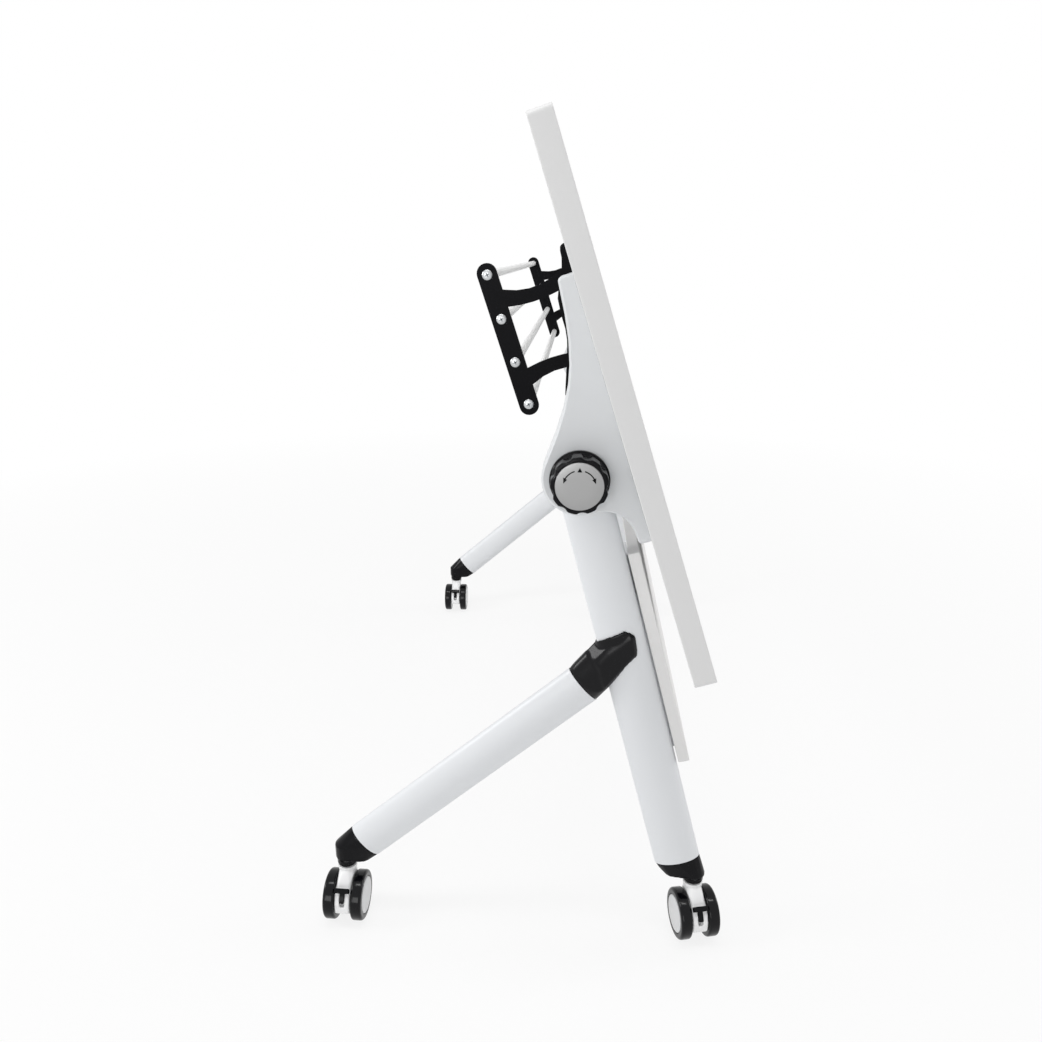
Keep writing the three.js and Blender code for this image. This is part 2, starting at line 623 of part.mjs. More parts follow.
function knob() {
  const waist = KNOB_RADIUS - KNOB_EDGE / 2;
  const profile = [
    [0, KNOB_BACK], [KNOB_RADIUS - SLIVER, KNOB_BACK], [KNOB_RADIUS, KNOB_BACK + SLIVER],
    [KNOB_RADIUS, KNOB_BACK + KNOB_SKIRT], [waist, KNOB_BACK + KNOB_SKIRT + SLIVER],
    [waist, KNOB_FRONT - 2 * KNOB_EDGE], [waist - KNOB_EDGE / 2, KNOB_FRONT - KNOB_EDGE / 2],
    [waist - KNOB_EDGE, KNOB_FRONT], [DISC_RADIUS + SEAT_GAP, KNOB_FRONT],
    [DISC_RADIUS + SEAT_GAP, KNOB_FRONT - DISC_THICK], [0, KNOB_FRONT - DISC_THICK],
  ];
  let body = solid(turned(profile, ROUND).rotateZ(-Math.PI / 2));
  const away = waist + SCALLOP_RADIUS - SCALLOP_DEEP;
  const start = KNOB_BACK + KNOB_SKIRT + KNOB_EDGE;
  for (let i = 0; i < KNOB_SCALLOPS; i += 1) {
    const turn = rad(SCALLOP_FIRST + (360 * i) / KNOB_SCALLOPS);
    const [y, z] = [away * Math.cos(turn), away * Math.sin(turn)];
    body = body.subtract(bar('x', SCALLOP_RADIUS, start, KNOB_FRONT + SLIVER, 0, y, z, MOULD_ROUND));
  }
  return body.add(bar('x', SHAFT_RADIUS, KNOB_BACK - SHAFT_SEAT, KNOB_BACK + SLIVER, 0, 0, 0, SMALL_ROUND));
}

function knobDisc() {
  const seat = KNOB_FRONT - DISC_THICK + SEAT_GAP;
  const profile = [
    [0, seat], [DISC_RADIUS, seat], [DISC_RADIUS, KNOB_FRONT - DISC_CROWN],
    [DISC_RADIUS - 2 * DISC_CROWN, KNOB_FRONT], [DISC_RADIUS / 2, KNOB_FRONT + DISC_CROWN / 2],
    [0, KNOB_FRONT + DISC_CROWN / 2],
  ];
  return solid(turned(profile, ROUND).rotateZ(-Math.PI / 2));
}

// Crossbeam between the two leg heads, on the flip axis
function crossbeam() {
  const half = LEG_X - HEAD_HALF - SEAT_GAP;
  return bar('x', BEAM_RADIUS, -half, half, 0, 0, 0, ROUND)
    .subtract(bar('x', BEAM_RADIUS - BEAM_WALL, -half - SLIVER, half + SLIVER, 0, 0, 0, ROUND));
}

// Modesty panel behind the legs, and the angle that joins it to a leg, in the leg's frame
const PANEL_FACE = LEG_WIDE / 2 + PANEL_OFF_LEG;

function modestyPanel() {
  const half = LEG_X + PANEL_PAST_LEG;
  const outline = roundedRectangle(
    -half, -PANEL_DOWN_LEG - PANEL_TALL, half, -PANEL_DOWN_LEG, 2 * PANEL_EDGE,
  );
  const sheet = prism(outline, -PANEL_FACE - PANEL_THICK, -PANEL_FACE, PANEL_EDGE, 1, 1);
  return solid(sheet.rotateX(Math.PI / 2));
}

function panelAngle() {
  const outside = -LEG_THICK / 2 - SEAT_GAP;
  const back = PANEL_FACE - SEAT_GAP;
  const top = -ANGLE_DOWN_LEG;
  return block(outside - ANGLE_PLATE, outside, -ANGLE_TOE, back, top - ANGLE_GRIP, top)
    .add(block(outside - ANGLE_LEAF, outside, back - ANGLE_PLATE, back, top - ANGLE_TAIL, top));
}

// Caster: drawn with its stem on the Z axis, rolling along X, on the floor at Z = 0
function aboutAxle(shape, half) {
  const geometry = prism(shape, -half, half, 0, 3).applyMatrix4(SIDEWAYS);
  return solid(geometry.translate(CASTER_TRAIL, 0, WHEEL_RADIUS));
}

function casterBody() {
  const collarTop = CAP_BOTTOM - SIDE_GAP;
  const collarFoot = collarTop - COLLAR_TALL;
  const edge = BODY_RADIUS - BODY_EDGE;
  const drum = turned([
    [0, -BODY_HALF], [edge, -BODY_HALF], [BODY_RADIUS, BODY_EDGE - BODY_HALF],
    [BODY_RADIUS, BODY_HALF - BODY_EDGE], [edge, BODY_HALF], [0, BODY_HALF],
  ], WHEEL_ROUND).translate(CASTER_TRAIL, 0, WHEEL_RADIUS);
  const cowl = [];
  for (const y of [-BODY_HALF, BODY_HALF]) {
    for (const share of [-0.8, 0.8]) {
      cowl.push(new THREE.Vector3(CASTER_TRAIL + share * edge, y, WHEEL_RADIUS + (1 - 0.4) * edge));
    }
  }
  cowl.push(...ring(COLLAR_RADIUS, BODY_HALF, 0, 0, collarFoot + SLIVER));
  const slot = sector(PEDAL_ROOT - SIDE_GAP, 2 * BODY_RADIUS,
    PEDAL_FROM - PEDAL_TRAVEL - 2, PEDAL_TO + 3);
  return solid(drum)
    .add(solid(new ConvexGeometry(cowl)))
    .add(bar('z', COLLAR_RADIUS, collarFoot, collarTop, 0, 0, 0, MOULD_ROUND))
    .subtract(block(-BODY_RADIUS, 2 * BODY_RADIUS, -2 * BODY_HALF, 2 * BODY_HALF, -SLIVER, BODY_FLOOR))
    .subtract(bar('z', STEM_RADIUS + SEAT_GAP, STEM_FOOT - SEAT_GAP, CAP_BOTTOM, 0, 0, 0, SMALL_ROUND))
    .subtract(bar('y', AXLE_RADIUS + SEAT_GAP, -2 * BODY_HALF, 2 * BODY_HALF,
      CASTER_TRAIL, 0, WHEEL_RADIUS, SMALL_ROUND))
    .subtract(aboutAxle(slot, PEDAL_HALF + SEAT_GAP));
}

function casterStem() {
  return bar('z', STEM_RADIUS, STEM_FOOT, CAP_BOTTOM + STEM_IN_SOCKET, 0, 0, 0, SMALL_ROUND);
}

function casterAxle() {
  return bar('y', AXLE_RADIUS, -AXLE_HALF, AXLE_HALF, CASTER_TRAIL, 0, WHEEL_RADIUS, SMALL_ROUND);
}

function casterWheel(hand) {
  const bore = AXLE_RADIUS + RUN_GAP;
  const rim = HUBCAP_RADIUS + SLIVER;
  const profile = [
    [0, WHEEL_OUTER], [HUBCAP_RADIUS, WHEEL_OUTER - SLIVER], [rim, WHEEL_OUTER - 2 * SLIVER],
    [WHEEL_RADIUS - TREAD_ROUND, WHEEL_OUTER - SLIVER],
    [WHEEL_RADIUS - SLIVER, WHEEL_OUTER - TREAD_ROUND], [WHEEL_RADIUS, WHEEL_OUTER - 2 * TREAD_ROUND],
    [WHEEL_RADIUS, WHEEL_INNER + TREAD_ROUND], [WHEEL_RADIUS - TREAD_ROUND, WHEEL_INNER],
    [bore, WHEEL_INNER],
    [bore, AXLE_HALF + SIDE_GAP], [0, AXLE_HALF + SIDE_GAP],
  ];
  const wheel = turned(profile, WHEEL_ROUND);
  if (hand < 0) wheel.rotateX(Math.PI);
  return solid(wheel.translate(CASTER_TRAIL, 0, WHEEL_RADIUS));
}

// Brake pedal: a stem in the body's slot with a crossbar on top, turning about the axle
function brakePedal() {
  const barRoot = BODY_RADIUS + SIDE_GAP;
  const stem = sector(PEDAL_ROOT, barRoot + SLIVER, PEDAL_FROM, PEDAL_TO);
  const crossbar = sector(barRoot, PEDAL_REACH, PEDAL_BAR_FROM, PEDAL_BAR_TO);
  return aboutAxle(stem, PEDAL_HALF).add(aboutAxle(crossbar, PEDAL_BAR_HALF));
}

function caster(place, side, neckY) {
  const group = new THREE.Group();
  group.position.set(side * LEG_X, neckY, 0);
  group.rotation.z = rad(HEADINGS[place]);
  piece(group, `caster_body_${place}`, casterBody(), WHITE_PLASTIC);
  piece(group, `caster_stem_${place}`, casterStem(), ZINC);
  piece(group, `caster_axle_${place}`, casterAxle(), ZINC);
  piece(group, `caster_wheel_outer_${place}`, casterWheel(1), TYRE);
  piece(group, `caster_wheel_inner_${place}`, casterWheel(-1), TYRE);
  piece(group, `brake_pedal_${place}`, brakePedal(), BLACK_PLASTIC);
  return group;
}

// The folding top, drawn flat about the flip axis and then turned up
function foldingTop() {
  const group = new THREE.Group();
  group.position.z = PIVOT_HEIGHT;
  group.rotation.x = -rad(FLIP);
  piece(group, 'tabletop', board(), LAMINATE);
  piece(group, 'edge_band', edgeBand(), BAND);
  for (const [hand, side] of [['right', 1], ['left', -1]]) {
    const end = new THREE.Group();
    end.position.x = side * LEG_X;
    piece(end, `tilt_bracket_${hand}`, handed(tiltBracket(), side), CAST_PAINT);
    piece(end, `pivot_bush_${hand}`, handed(pivotBush(), side), BUSH_PLASTIC);
    const shelf = new THREE.Group();
    shelf.position.x = side * SHELF_X;
    piece(shelf, `shelf_bracket_${hand}`, handed(shelfPlate(), side), BLACK_STEEL);
    group.add(end, shelf);
  }
  const rodHalf = SHELF_X - SHELF_PLATE - SEAT_GAP;
  for (let i = 0; i < ROD_COUNT; i += 1) {
    const [y, z] = under(SHELF_MIDDLE + (i - (ROD_COUNT - 1) / 2) * ROD_PITCH, ROD_DROP);
    const rod = bar('x', ROD_RADIUS, -rodHalf, rodHalf, 0, y, z, SMALL_ROUND);
    piece(group, `shelf_rod_${i + 1}`, rod, POWDER_COAT);
  }
  return group;
}

// One end of the frame, about the middle of its leg head
function frameEnd(hand, side) {
  const group = new THREE.Group();
  group.position.set(side * LEG_X, 0, PIVOT_HEIGHT);
  const leg = new THREE.Group();
  leg.applyMatrix4(LEG_FRAME);
  piece(leg, `main_leg_${hand}`, mainLeg(), POWDER_COAT);
  piece(leg, `panel_angle_${hand}`, handed(panelAngle(), side), POWDER_COAT);
  const fore = new THREE.Group();
  fore.applyMatrix4(FORELEG_FRAME);
  piece(fore, `foreleg_${hand}`, foreleg(), POWDER_COAT);
  group.add(leg, fore);
  piece(group, `leg_head_${hand}`, handed(legHead(), side), POWDER_COAT);
  piece(group, `leg_joint_${hand}`, legJoint(), BLACK_PLASTIC);
  piece(group, `rear_cap_${hand}`,
    legCap(LEG_THICK, LEG_WIDE, LEG_FRAME, LEG_END, REAR_NECK_Y, REAR_TUBE_Y + REAR_HEEL_REACH,
      REAR_COLUMN_TALL),
    BLACK_PLASTIC);
  piece(group, `front_cap_${hand}`,
    legCap(FORELEG_THICK, FORELEG_WIDE, FORELEG_FRAME, FORELEG_END, FRONT_NECK_Y,
      FRONT_TUBE_Y + FRONT_HEEL_REACH, FRONT_COLUMN_TALL),
    BLACK_PLASTIC);
  piece(group, `pivot_stub_${hand}`, handed(pivotStub(), side), ZINC);
  piece(group, `lock_pin_${hand}`, handed(lockPin(), side), ZINC);
  piece(group, `knob_${hand}`, handed(knob(), side), BLACK_PLASTIC);
  piece(group, `knob_disc_${hand}`, handed(knobDisc(), side), SATIN_SILVER);
  return group;
}

function fixedMiddle() {
  const group = new THREE.Group();
  group.position.z = PIVOT_HEIGHT;
  piece(group, 'crossbeam', crossbeam(), POWDER_COAT);
  const lean = new THREE.Group();
  lean.applyMatrix4(LEG_FRAME);
  piece(lean, 'modesty_panel', modestyPanel(), LAMINATE);
  group.add(lean);
  return group;
}

// The whole table, with its origin on the floor under the middle of its box
const table = new THREE.Group();
table.add(foldingTop(), fixedMiddle(), frameEnd('right', 1), frameEnd('left', -1));
for (const [hand, side] of [['right', 1], ['left', -1]]) {
  table.add(caster(`front_${hand}`, side, FRONT_NECK_Y));
  table.add(caster(`rear_${hand}`, side, REAR_NECK_Y));
}
const middle = new THREE.Box3().setFromObject(table, true).getCenter(new THREE.Vector3());
table.position.set(-middle.x, -middle.y, 0);

export default table;
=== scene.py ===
# %% [markdown]
# # A flip top training table
# The table is stored: its top is folded up, and a black knob on the flip axis lets it down again.
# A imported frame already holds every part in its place, with the joints that move it. The parts could
# be modelled again from nothing, but then they might drift from that frame. So the frame is loaded first,
# and every later piece is placed and carried by it.

# %% Load the frame
import json
import math

import bmesh
import bpy
from mathutils import Matrix, Vector


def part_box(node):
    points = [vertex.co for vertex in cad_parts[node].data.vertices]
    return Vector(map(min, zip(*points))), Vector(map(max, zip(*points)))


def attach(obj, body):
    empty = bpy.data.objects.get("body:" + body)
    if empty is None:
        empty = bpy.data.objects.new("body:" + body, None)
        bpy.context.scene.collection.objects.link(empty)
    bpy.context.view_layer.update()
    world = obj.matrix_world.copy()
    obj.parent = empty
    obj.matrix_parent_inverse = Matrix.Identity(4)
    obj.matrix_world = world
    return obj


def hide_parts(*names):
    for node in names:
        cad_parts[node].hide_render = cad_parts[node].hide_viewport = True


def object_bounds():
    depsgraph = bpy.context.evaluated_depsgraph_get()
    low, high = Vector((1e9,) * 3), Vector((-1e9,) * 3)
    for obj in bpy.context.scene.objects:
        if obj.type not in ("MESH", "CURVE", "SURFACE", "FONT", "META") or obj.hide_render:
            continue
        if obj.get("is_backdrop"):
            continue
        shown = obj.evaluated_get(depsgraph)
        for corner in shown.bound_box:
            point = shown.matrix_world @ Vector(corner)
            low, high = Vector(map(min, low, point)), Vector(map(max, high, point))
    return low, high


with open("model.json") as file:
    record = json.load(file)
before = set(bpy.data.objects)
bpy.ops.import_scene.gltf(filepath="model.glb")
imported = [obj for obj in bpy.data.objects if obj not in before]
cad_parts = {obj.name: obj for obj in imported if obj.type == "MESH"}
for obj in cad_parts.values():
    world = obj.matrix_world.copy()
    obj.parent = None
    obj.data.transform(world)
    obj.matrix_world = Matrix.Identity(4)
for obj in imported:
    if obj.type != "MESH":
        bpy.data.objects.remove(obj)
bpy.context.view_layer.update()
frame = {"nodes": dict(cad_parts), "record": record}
moving = frame["record"]["behaviour"]
body_of = {node: body for body, nodes in moving["bodies"].items() for node in nodes}
joint = {j["name"]: j for j in moving["joints"]}

# %% [markdown]
# The table is the same at both ends, and each end stands on two casters. Every place could be typed by
# hand, but a few names that all the loops share keep the two ends alike. The flip axis is read from the
# frame, so that a new frame moves the pieces with it. Lengths in this lesson are in metres, unless their
# name says otherwise.

# %% Places
PIVOT = Vector(joint["top_flip"]["pos_m"])
LEG_X = 0.545
ENDS = {"right": 1, "left": -1}
PLACES = ("front_right", "rear_right", "front_left", "rear_left")
QUARTER_TURN = math.pi / 2
FULL_TURN = 2 * math.pi


def hub_at(side):
    return Vector((side * LEG_X, PIVOT.y, PIVOT.z))


print("flip axis at", tuple(round(v, 4) for v in PIVOT))

# %% [markdown]
# A finish is a net of small nodes, and many of them do a sum or draw a noise. They could be placed one by
# one in the editor, but a script would then repeat the same lines for each. So three helpers do it: one
# feeds a socket with a number or a link, one adds a sum, and one adds a noise.

# %% Node helpers
def feed(tree, socket, value):
    if isinstance(value, (int, float)):
        socket.default_value = value
    else:
        tree.links.new(value, socket)


def maths(tree, operation, a, b):
    node = tree.nodes.new("ShaderNodeMath")
    node.operation = operation
    feed(tree, node.inputs[0], a)
    feed(tree, node.inputs[1], b)
    return node.outputs[0]


def noise(tree, vector, scale, detail):
    node = tree.nodes.new("ShaderNodeTexNoise")
    feed(tree, node.inputs["Vector"], vector)
    feed(tree, node.inputs["Scale"], scale)
    feed(tree, node.inputs["Detail"], detail)
    return node.outputs["Fac"]


print("node helpers:", [helper.__name__ for helper in (feed, maths, noise)])

# %% [markdown]
# Paint, plastic and laminate are never one flat colour: they drift a little in shade and gloss, and have a
# fine tooth that the light picks up. A picture could show that, but it needs unwrapped meshes. Two noises
# do it from the object's own coordinates: a slow and a fast one, mixed, make the drift, and the fast one
# alone makes the tooth. They are a node group because every finish here uses them, each with its own amounts.

# %% Grain group
FINE_DETAIL, SLOW_DETAIL, SLOW_SCALE = 2.0, 3.0, 6.0
GRAIN_INPUTS = {"Vector": "NodeSocketVector", "Fine scale": "NodeSocketFloat",
                "Tint amount": "NodeSocketFloat", "Gloss amount": "NodeSocketFloat",
                "Base gloss": "NodeSocketFloat", "Base tint": "NodeSocketColor"}
GRAIN_OUTPUTS = {"Color": "NodeSocketColor", "Roughness": "NodeSocketFloat", "Height": "NodeSocketFloat"}

grain = bpy.data.node_groups.new("surface_grain", "ShaderNodeTree")
for label, kind in GRAIN_INPUTS.items():
    grain.interface.new_socket(label, in_out="INPUT", socket_type=kind)
for label, kind in GRAIN_OUTPUTS.items():
    grain.interface.new_socket(label, in_out="OUTPUT", socket_type=kind)
inside = grain.nodes.new("NodeGroupInput")
outside = grain.nodes.new("NodeGroupOutput")
fine = noise(grain, inside.outputs["Vector"], inside.outputs["Fine scale"], FINE_DETAIL)
slow = noise(grain, inside.outputs["Vector"], SLOW_SCALE, SLOW_DETAIL)
mean = maths(grain, "ADD", maths(grain, "MULTIPLY", fine, 0.5), maths(grain, "MULTIPLY", slow, 0.5))
swing = maths(grain, "SUBTRACT", mean, 0.5)
shade = maths(grain, "ADD", maths(grain, "MULTIPLY", swing, inside.outputs["Tint amount"]), 1.0)
scaled = grain.nodes.new("ShaderNodeVectorMath")
scaled.operation = "SCALE"
grain.links.new(inside.outputs["Base tint"], scaled.inputs[0])
grain.links.new(shade, scaled.inputs["Scale"])
grain.links.new(scaled.outputs[0], outside.inputs["Color"])
gloss = maths(grain, "MULTIPLY", swing, inside.outputs["Gloss amount"])
grain.links.new(maths(grain, "ADD", gloss, inside.outputs["Base gloss"]), outside.inputs["Roughness"])
grain.links.new(fine, outside.inputs["Height"])
print("grain group:", len(grain.nodes), "nodes")

# %% [markdown]
# The table has pale laminate, white paint, black and white mouldings, a silver disc and zinc screws. Each
# could have a node tree of its own, but they differ only in a few numbers, so one function makes them all:
# a Principled shader fed by the grain group. The bump depth is in metres, so that the orange peel of a
# powder coat stays at its real scale. What is the same all over a surface, such as the metallic value, is
# set on the shader's own socket.

# %% Finish function
SKIN_DEPTH, PEEL_DEPTH, POLISHED_DEPTH = 0.00002, 0.00004, 0.00001
BOARD_GRAIN, PAINT_GRAIN, CAST_GRAIN, MOULD_GRAIN = 1500.0, 700.0, 600.0, 900.0
DISC_GRAIN, ZINC_GRAIN, PLAIN_GRAIN = 1800.0, 1200.0, 800.0
GLOSS_SWING = 0.08


def finish(name, tint, roughness, fine_scale=PLAIN_GRAIN, bump=SKIN_DEPTH, metallic=0.0, tint_amount=0.04,
           sheen=0.5):
    material = bpy.data.materials.new(name)
    material.use_nodes = True
    tree = material.node_tree
    shader = tree.nodes["Principled BSDF"]
    where = tree.nodes.new("ShaderNodeTexCoord")
    texture = tree.nodes.new("ShaderNodeGroup")
    texture.node_tree = grain
    tree.links.new(where.outputs["Object"], texture.inputs["Vector"])
    texture.inputs["Base tint"].default_value = (*tint, 1.0)
    for label, value in (("Fine scale", fine_scale), ("Base gloss", roughness), ("Tint amount", tint_amount),
                         ("Gloss amount", GLOSS_SWING)):
        texture.inputs[label].default_value = value
    tree.links.new(texture.outputs["Color"], shader.inputs["Base Color"])
    tree.links.new(texture.outputs["Roughness"], shader.inputs["Roughness"])
    relief = tree.nodes.new("ShaderNodeBump")
    relief.inputs["Distance"].default_value = bump
    tree.links.new(texture.outputs["Height"], relief.inputs["Height"])
    tree.links.new(relief.outputs["Normal"], shader.inputs["Normal"])
    shader.inputs["Metallic"].default_value = metallic
    shader.inputs["Specular IOR Level"].default_value = sheen
    return material


print("finish function uses", len(GRAIN_INPUTS), "grain inputs")

# %% [markdown]
# These are the finishes themselves. The pale ones are kept below full white, so that the lamps can
# shape them, and the blacks are never quite black. A black part on a white floor mirrors the whole white
# room, which would turn it grey, so the black finishes get a low sheen instead of a darker colour.

# %% Finishes
SOFT_BLACK, DEEP_BLACK = (0.004, 0.004, 0.005), (0.003, 0.003, 0.004)

LAMINATE = finish("matt_laminate", (0.72, 0.72, 0.715), 0.5, BOARD_GRAIN)
BAND = finish("edge_band", (0.74, 0.74, 0.74), 0.42, BOARD_GRAIN)
PANEL = finish("panel_laminate", (0.77, 0.765, 0.76), 0.5, BOARD_GRAIN)
POWDER = finish("white_powder_coat", (0.75, 0.765, 0.785), 0.34, PAINT_GRAIN, PEEL_DEPTH)
# The rods wear the same white powder coat as the legs. This lighter copy of it is painted light: it makes up
# for the shade that falls on the thin rods from below and the side.
LIT_ROD_POWDER = finish("rod_powder_painted_lighter", (0.92, 0.92, 0.92), 0.34, PAINT_GRAIN, PEEL_DEPTH)
CAST = finish("cast_paint", (0.69, 0.705, 0.72), 0.36, CAST_GRAIN, PEEL_DEPTH)
BLACK_STEEL = finish("matt_black_steel", DEEP_BLACK, 0.40, MOULD_GRAIN, sheen=0.06)
BLACK_MOULD = finish("black_moulding", SOFT_BLACK, 0.24, MOULD_GRAIN, sheen=0.12)
JOINT_BLACK = finish("joint_gloss_black", DEEP_BLACK, 0.25, MOULD_GRAIN, sheen=0.2)
KNOB_BLACK = finish("knob_gloss_black", DEEP_BLACK, 0.2, MOULD_GRAIN, sheen=0.14)
DISC = finish("satin_silver", (0.35, 0.35, 0.35), 0.34, DISC_GRAIN, metallic=0.7)
MARK = finish("printed_black", (0.004, 0.004, 0.004), 0.6, tint_amount=0.2, sheen=0.1)
WHITE_MOULD = finish("white_moulding", (0.90, 0.90, 0.905), 0.26, MOULD_GRAIN)
TYRE = finish("tyre_black", DEEP_BLACK, 0.13, MOULD_GRAIN, POLISHED_DEPTH, sheen=0.2)
HUB_GREY = finish("wheel_disc_grey", (0.64, 0.645, 0.65), 0.32, MOULD_GRAIN)
ZINC = finish("zinc_plate", (0.56, 0.57, 0.58), 0.34, ZINC_GRAIN, metallic=1.0, tint_amount=0.1)
# The screw cross is painted shade: a dark grey that stands for the shadow inside the recess.
RECESS_SHADE = finish("screw_recess_shade", (0.16, 0.17, 0.18), 0.4, metallic=0.8)
BUSH = finish("bush_plastic", (0.025, 0.025, 0.027), 0.5)
print("finishes:", len(bpy.data.materials))

# %% [markdown]
# Each piece of the real table is carried by something: a wheel by its axle, a knob by its shaft. An object
# could just be left in its place, but then it wouldn't follow its joint. So one function settles them all.
# It makes a smooth mesh of a bmesh and keeps the creases sharp. It hangs the piece on the body that carries
# it and hides the nodes it stands for. Stored normals are dropped on the way, since they belong to the
# frame's facets.

# %% Settling a piece
CREASE = 35


def settle(name, shape, body, material, stands_for=(), crease=CREASE):
    bmesh.ops.recalc_face_normals(shape, faces=shape.faces)
    mesh = bpy.data.meshes.new(name)
    shape.to_mesh(mesh)
    shape.free()
    old_normals = mesh.attributes.get("custom_normal")
    if old_normals:
        mesh.attributes.remove(old_normals)
    mesh.shade_smooth()
    mesh.set_sharp_from_angle(angle=math.radians(crease))
    mesh.materials.append(material)
    piece = bpy.data.objects.new(name, mesh)
    bpy.context.collection.objects.link(piece)
    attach(piece, body)
    if stands_for:
        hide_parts(*stands_for)
    return piece


print("edges over", CREASE, "degrees stay sharp unless a piece says otherwise")

# %% [markdown]
# Many parts need no new shape, only smooth shading and a small edge round, because no edge on the real
# table is perfectly sharp. The frame's mesh could be shown as it is, but its facets would show. So a part
# is copied into a bmesh, its doubled corners are welded, and the copy is settled on the same body. A bevel
# modifier rounds the edges where that shows.

# %% Copies of the frame's parts
WELD = 0.00001
EDGE_SEGMENTS, EDGE_ANGLE = 2, 30


def welded(node):
    shape = bmesh.new()
    shape.from_mesh(frame["nodes"][node].data)
    bmesh.ops.remove_doubles(shape, verts=shape.verts, dist=WELD)
    return shape


def edge_round(piece, width, angle=EDGE_ANGLE):
    bevel = piece.modifiers.new("edge_round", "BEVEL")
    bevel.width = width
    bevel.segments = EDGE_SEGMENTS
    bevel.limit_method = "ANGLE"
    bevel.angle_limit = math.radians(angle)
    bevel.harden_normals = True


def carried(node, material, width=0.0, crease=CREASE):
    piece = settle(f"{node}_skin", welded(node), body_of[node], material, [node], crease)
    if width:
        edge_round(piece, width)
    return piece


print("corners within", WELD, "m of each other are welded")

# %% [markdown]
# The worktop is a laminate board with a plastic band round its edge, and the modesty panel is a plain
# board. New boxes would do, but the frame already has the band's rounded corners, so all three are welded
# copies. The band's normals are weighted by the size of its faces, so that its long flat sides stay flat
# next to the small round ones.

# %% Worktop and panel
BAND_CREASE = 60


def even_shading(piece):
    shading = piece.modifiers.new("even_shading", "WEIGHTED_NORMAL")
    shading.keep_sharp = True


boards = [carried("tabletop", LAMINATE), carried("edge_band", BAND, crease=BAND_CREASE)]
even_shading(boards[-1])
boards.append(carried("modesty_panel", PANEL))
print("boards:", len(boards))

# %% [markdown]
# The tilt brackets are painted castings, the shelf brackets are cut from black plate, and the stubs, bushes
# and pins are small turned parts that hardly show. Their outlines are exact in the frame, so modelling them
# again would gain nothing. A bevel modifier rounds the edges instead, and it is widest on the castings,
# whose soft rims catch the light. Each row below gives a part, its finish and its edge round.

# %% Brackets and hidden metal
END_METAL = (("tilt_bracket", CAST, 0.0008), ("leg_head", CAST, 0.0006),
             ("shelf_bracket", BLACK_STEEL, 0.0005), ("panel_angle", POWDER, 0.0004),
             ("pivot_stub", ZINC, 0.0), ("pivot_bush", BUSH, 0.0), ("lock_pin", ZINC, 0.0))
for end in ENDS:
    for part, material, edge in END_METAL:
        carried(f"{part}_{end}", material, width=edge)
print("brackets and hidden metal:", len(ENDS) * len(END_METAL), "pieces")

# %% [markdown]
# The legs are oval steel tubes, and the forelegs are slimmer ones that lean on them. A curve with an oval
# profile could sweep them, but they are straight, so a circle is scaled to the oval, extruded along the leg
# and given a wall. That is done in the leg's own frame, with its foot downwards, and the finished mesh is
# then turned into place. The main leg starts a little way down from the flip axis, because the leg head
# fills the space above it.

# %% Oval legs
LEG_LEAN, FORELEG_RISE = math.radians(15), math.radians(40.7)
LEG_OVAL, FORELEG_OVAL = (0.030, 0.062), (0.028, 0.056)
LEG_START, LEG_FOOT = 0.031, 0.5601
FORELEG_START, FORELEG_FOOT = 0.0693, 0.46426
JOINT_DOWN_LEG = 0.242
OVAL_SIDES, TUBE_WALL = 72, 0.002


def oval_tube(oval, start, stop, place):
    shape = bmesh.new()
    rim = bmesh.ops.create_circle(shape, segments=OVAL_SIDES, radius=0.5)["verts"]
    bmesh.ops.scale(shape, vec=(oval[0], oval[1], 1), verts=rim)
    bmesh.ops.translate(shape, vec=(0, 0, -start), verts=rim)
    sides = bmesh.ops.extrude_edge_only(shape, edges=shape.edges[:])
    lower = [v for v in sides["geom"] if isinstance(v, bmesh.types.BMVert)]
    bmesh.ops.translate(shape, vec=(0, 0, start - stop), verts=lower)
    bmesh.ops.recalc_face_normals(shape, faces=shape.faces)
    bmesh.ops.solidify(shape, geom=shape.faces[:], thickness=TUBE_WALL)
    bmesh.ops.transform(shape, matrix=place, verts=shape.verts)
    return shape


def leg_place(side):
    return Matrix.Translation(hub_at(side)) @ Matrix.Rotation(LEG_LEAN, 4, "X")


def foreleg_place(side):
    meeting = leg_place(side) @ Vector((0, 0, -JOINT_DOWN_LEG))
    return Matrix.Translation(meeting) @ Matrix.Rotation(FORELEG_RISE - QUARTER_TURN, 4, "X")


for end, side in ENDS.items():
    leg = oval_tube(LEG_OVAL, LEG_START, LEG_FOOT, leg_place(side))
    settle(f"main_leg_{end}_tube", leg, "frame", POWDER, [f"main_leg_{end}"])
    strut = oval_tube(FORELEG_OVAL, FORELEG_START, FORELEG_FOOT, foreleg_place(side))
    settle(f"foreleg_{end}_tube", strut, "frame", POWDER, [f"foreleg_{end}"])
print("main legs are", round(LEG_FOOT - LEG_START, 3), "m long, forelegs",
      round(FORELEG_FOOT - FORELEG_START, 3), "m")

# %% [markdown]
# The crossbeam is a round tube on the flip axis, and four thin rods make the book shelf. The frame's own
# bars would do, but these show as round outlines, so they are cylinders with more sides. The tube is an open
# cylinder that is given a wall. A rod is a closed one, with a slight round at each end, where it meets the
# black plate.

# %% Round stock
BAR_SIDES = 48
BEAM_RADIUS, BEAM_WALL = 0.025, 0.002
ROD_RADIUS, ROD_EDGE, ROD_EDGE_ANGLE = 0.0055, 0.0004, 60
ROD_NUMBERS = range(1, 5)


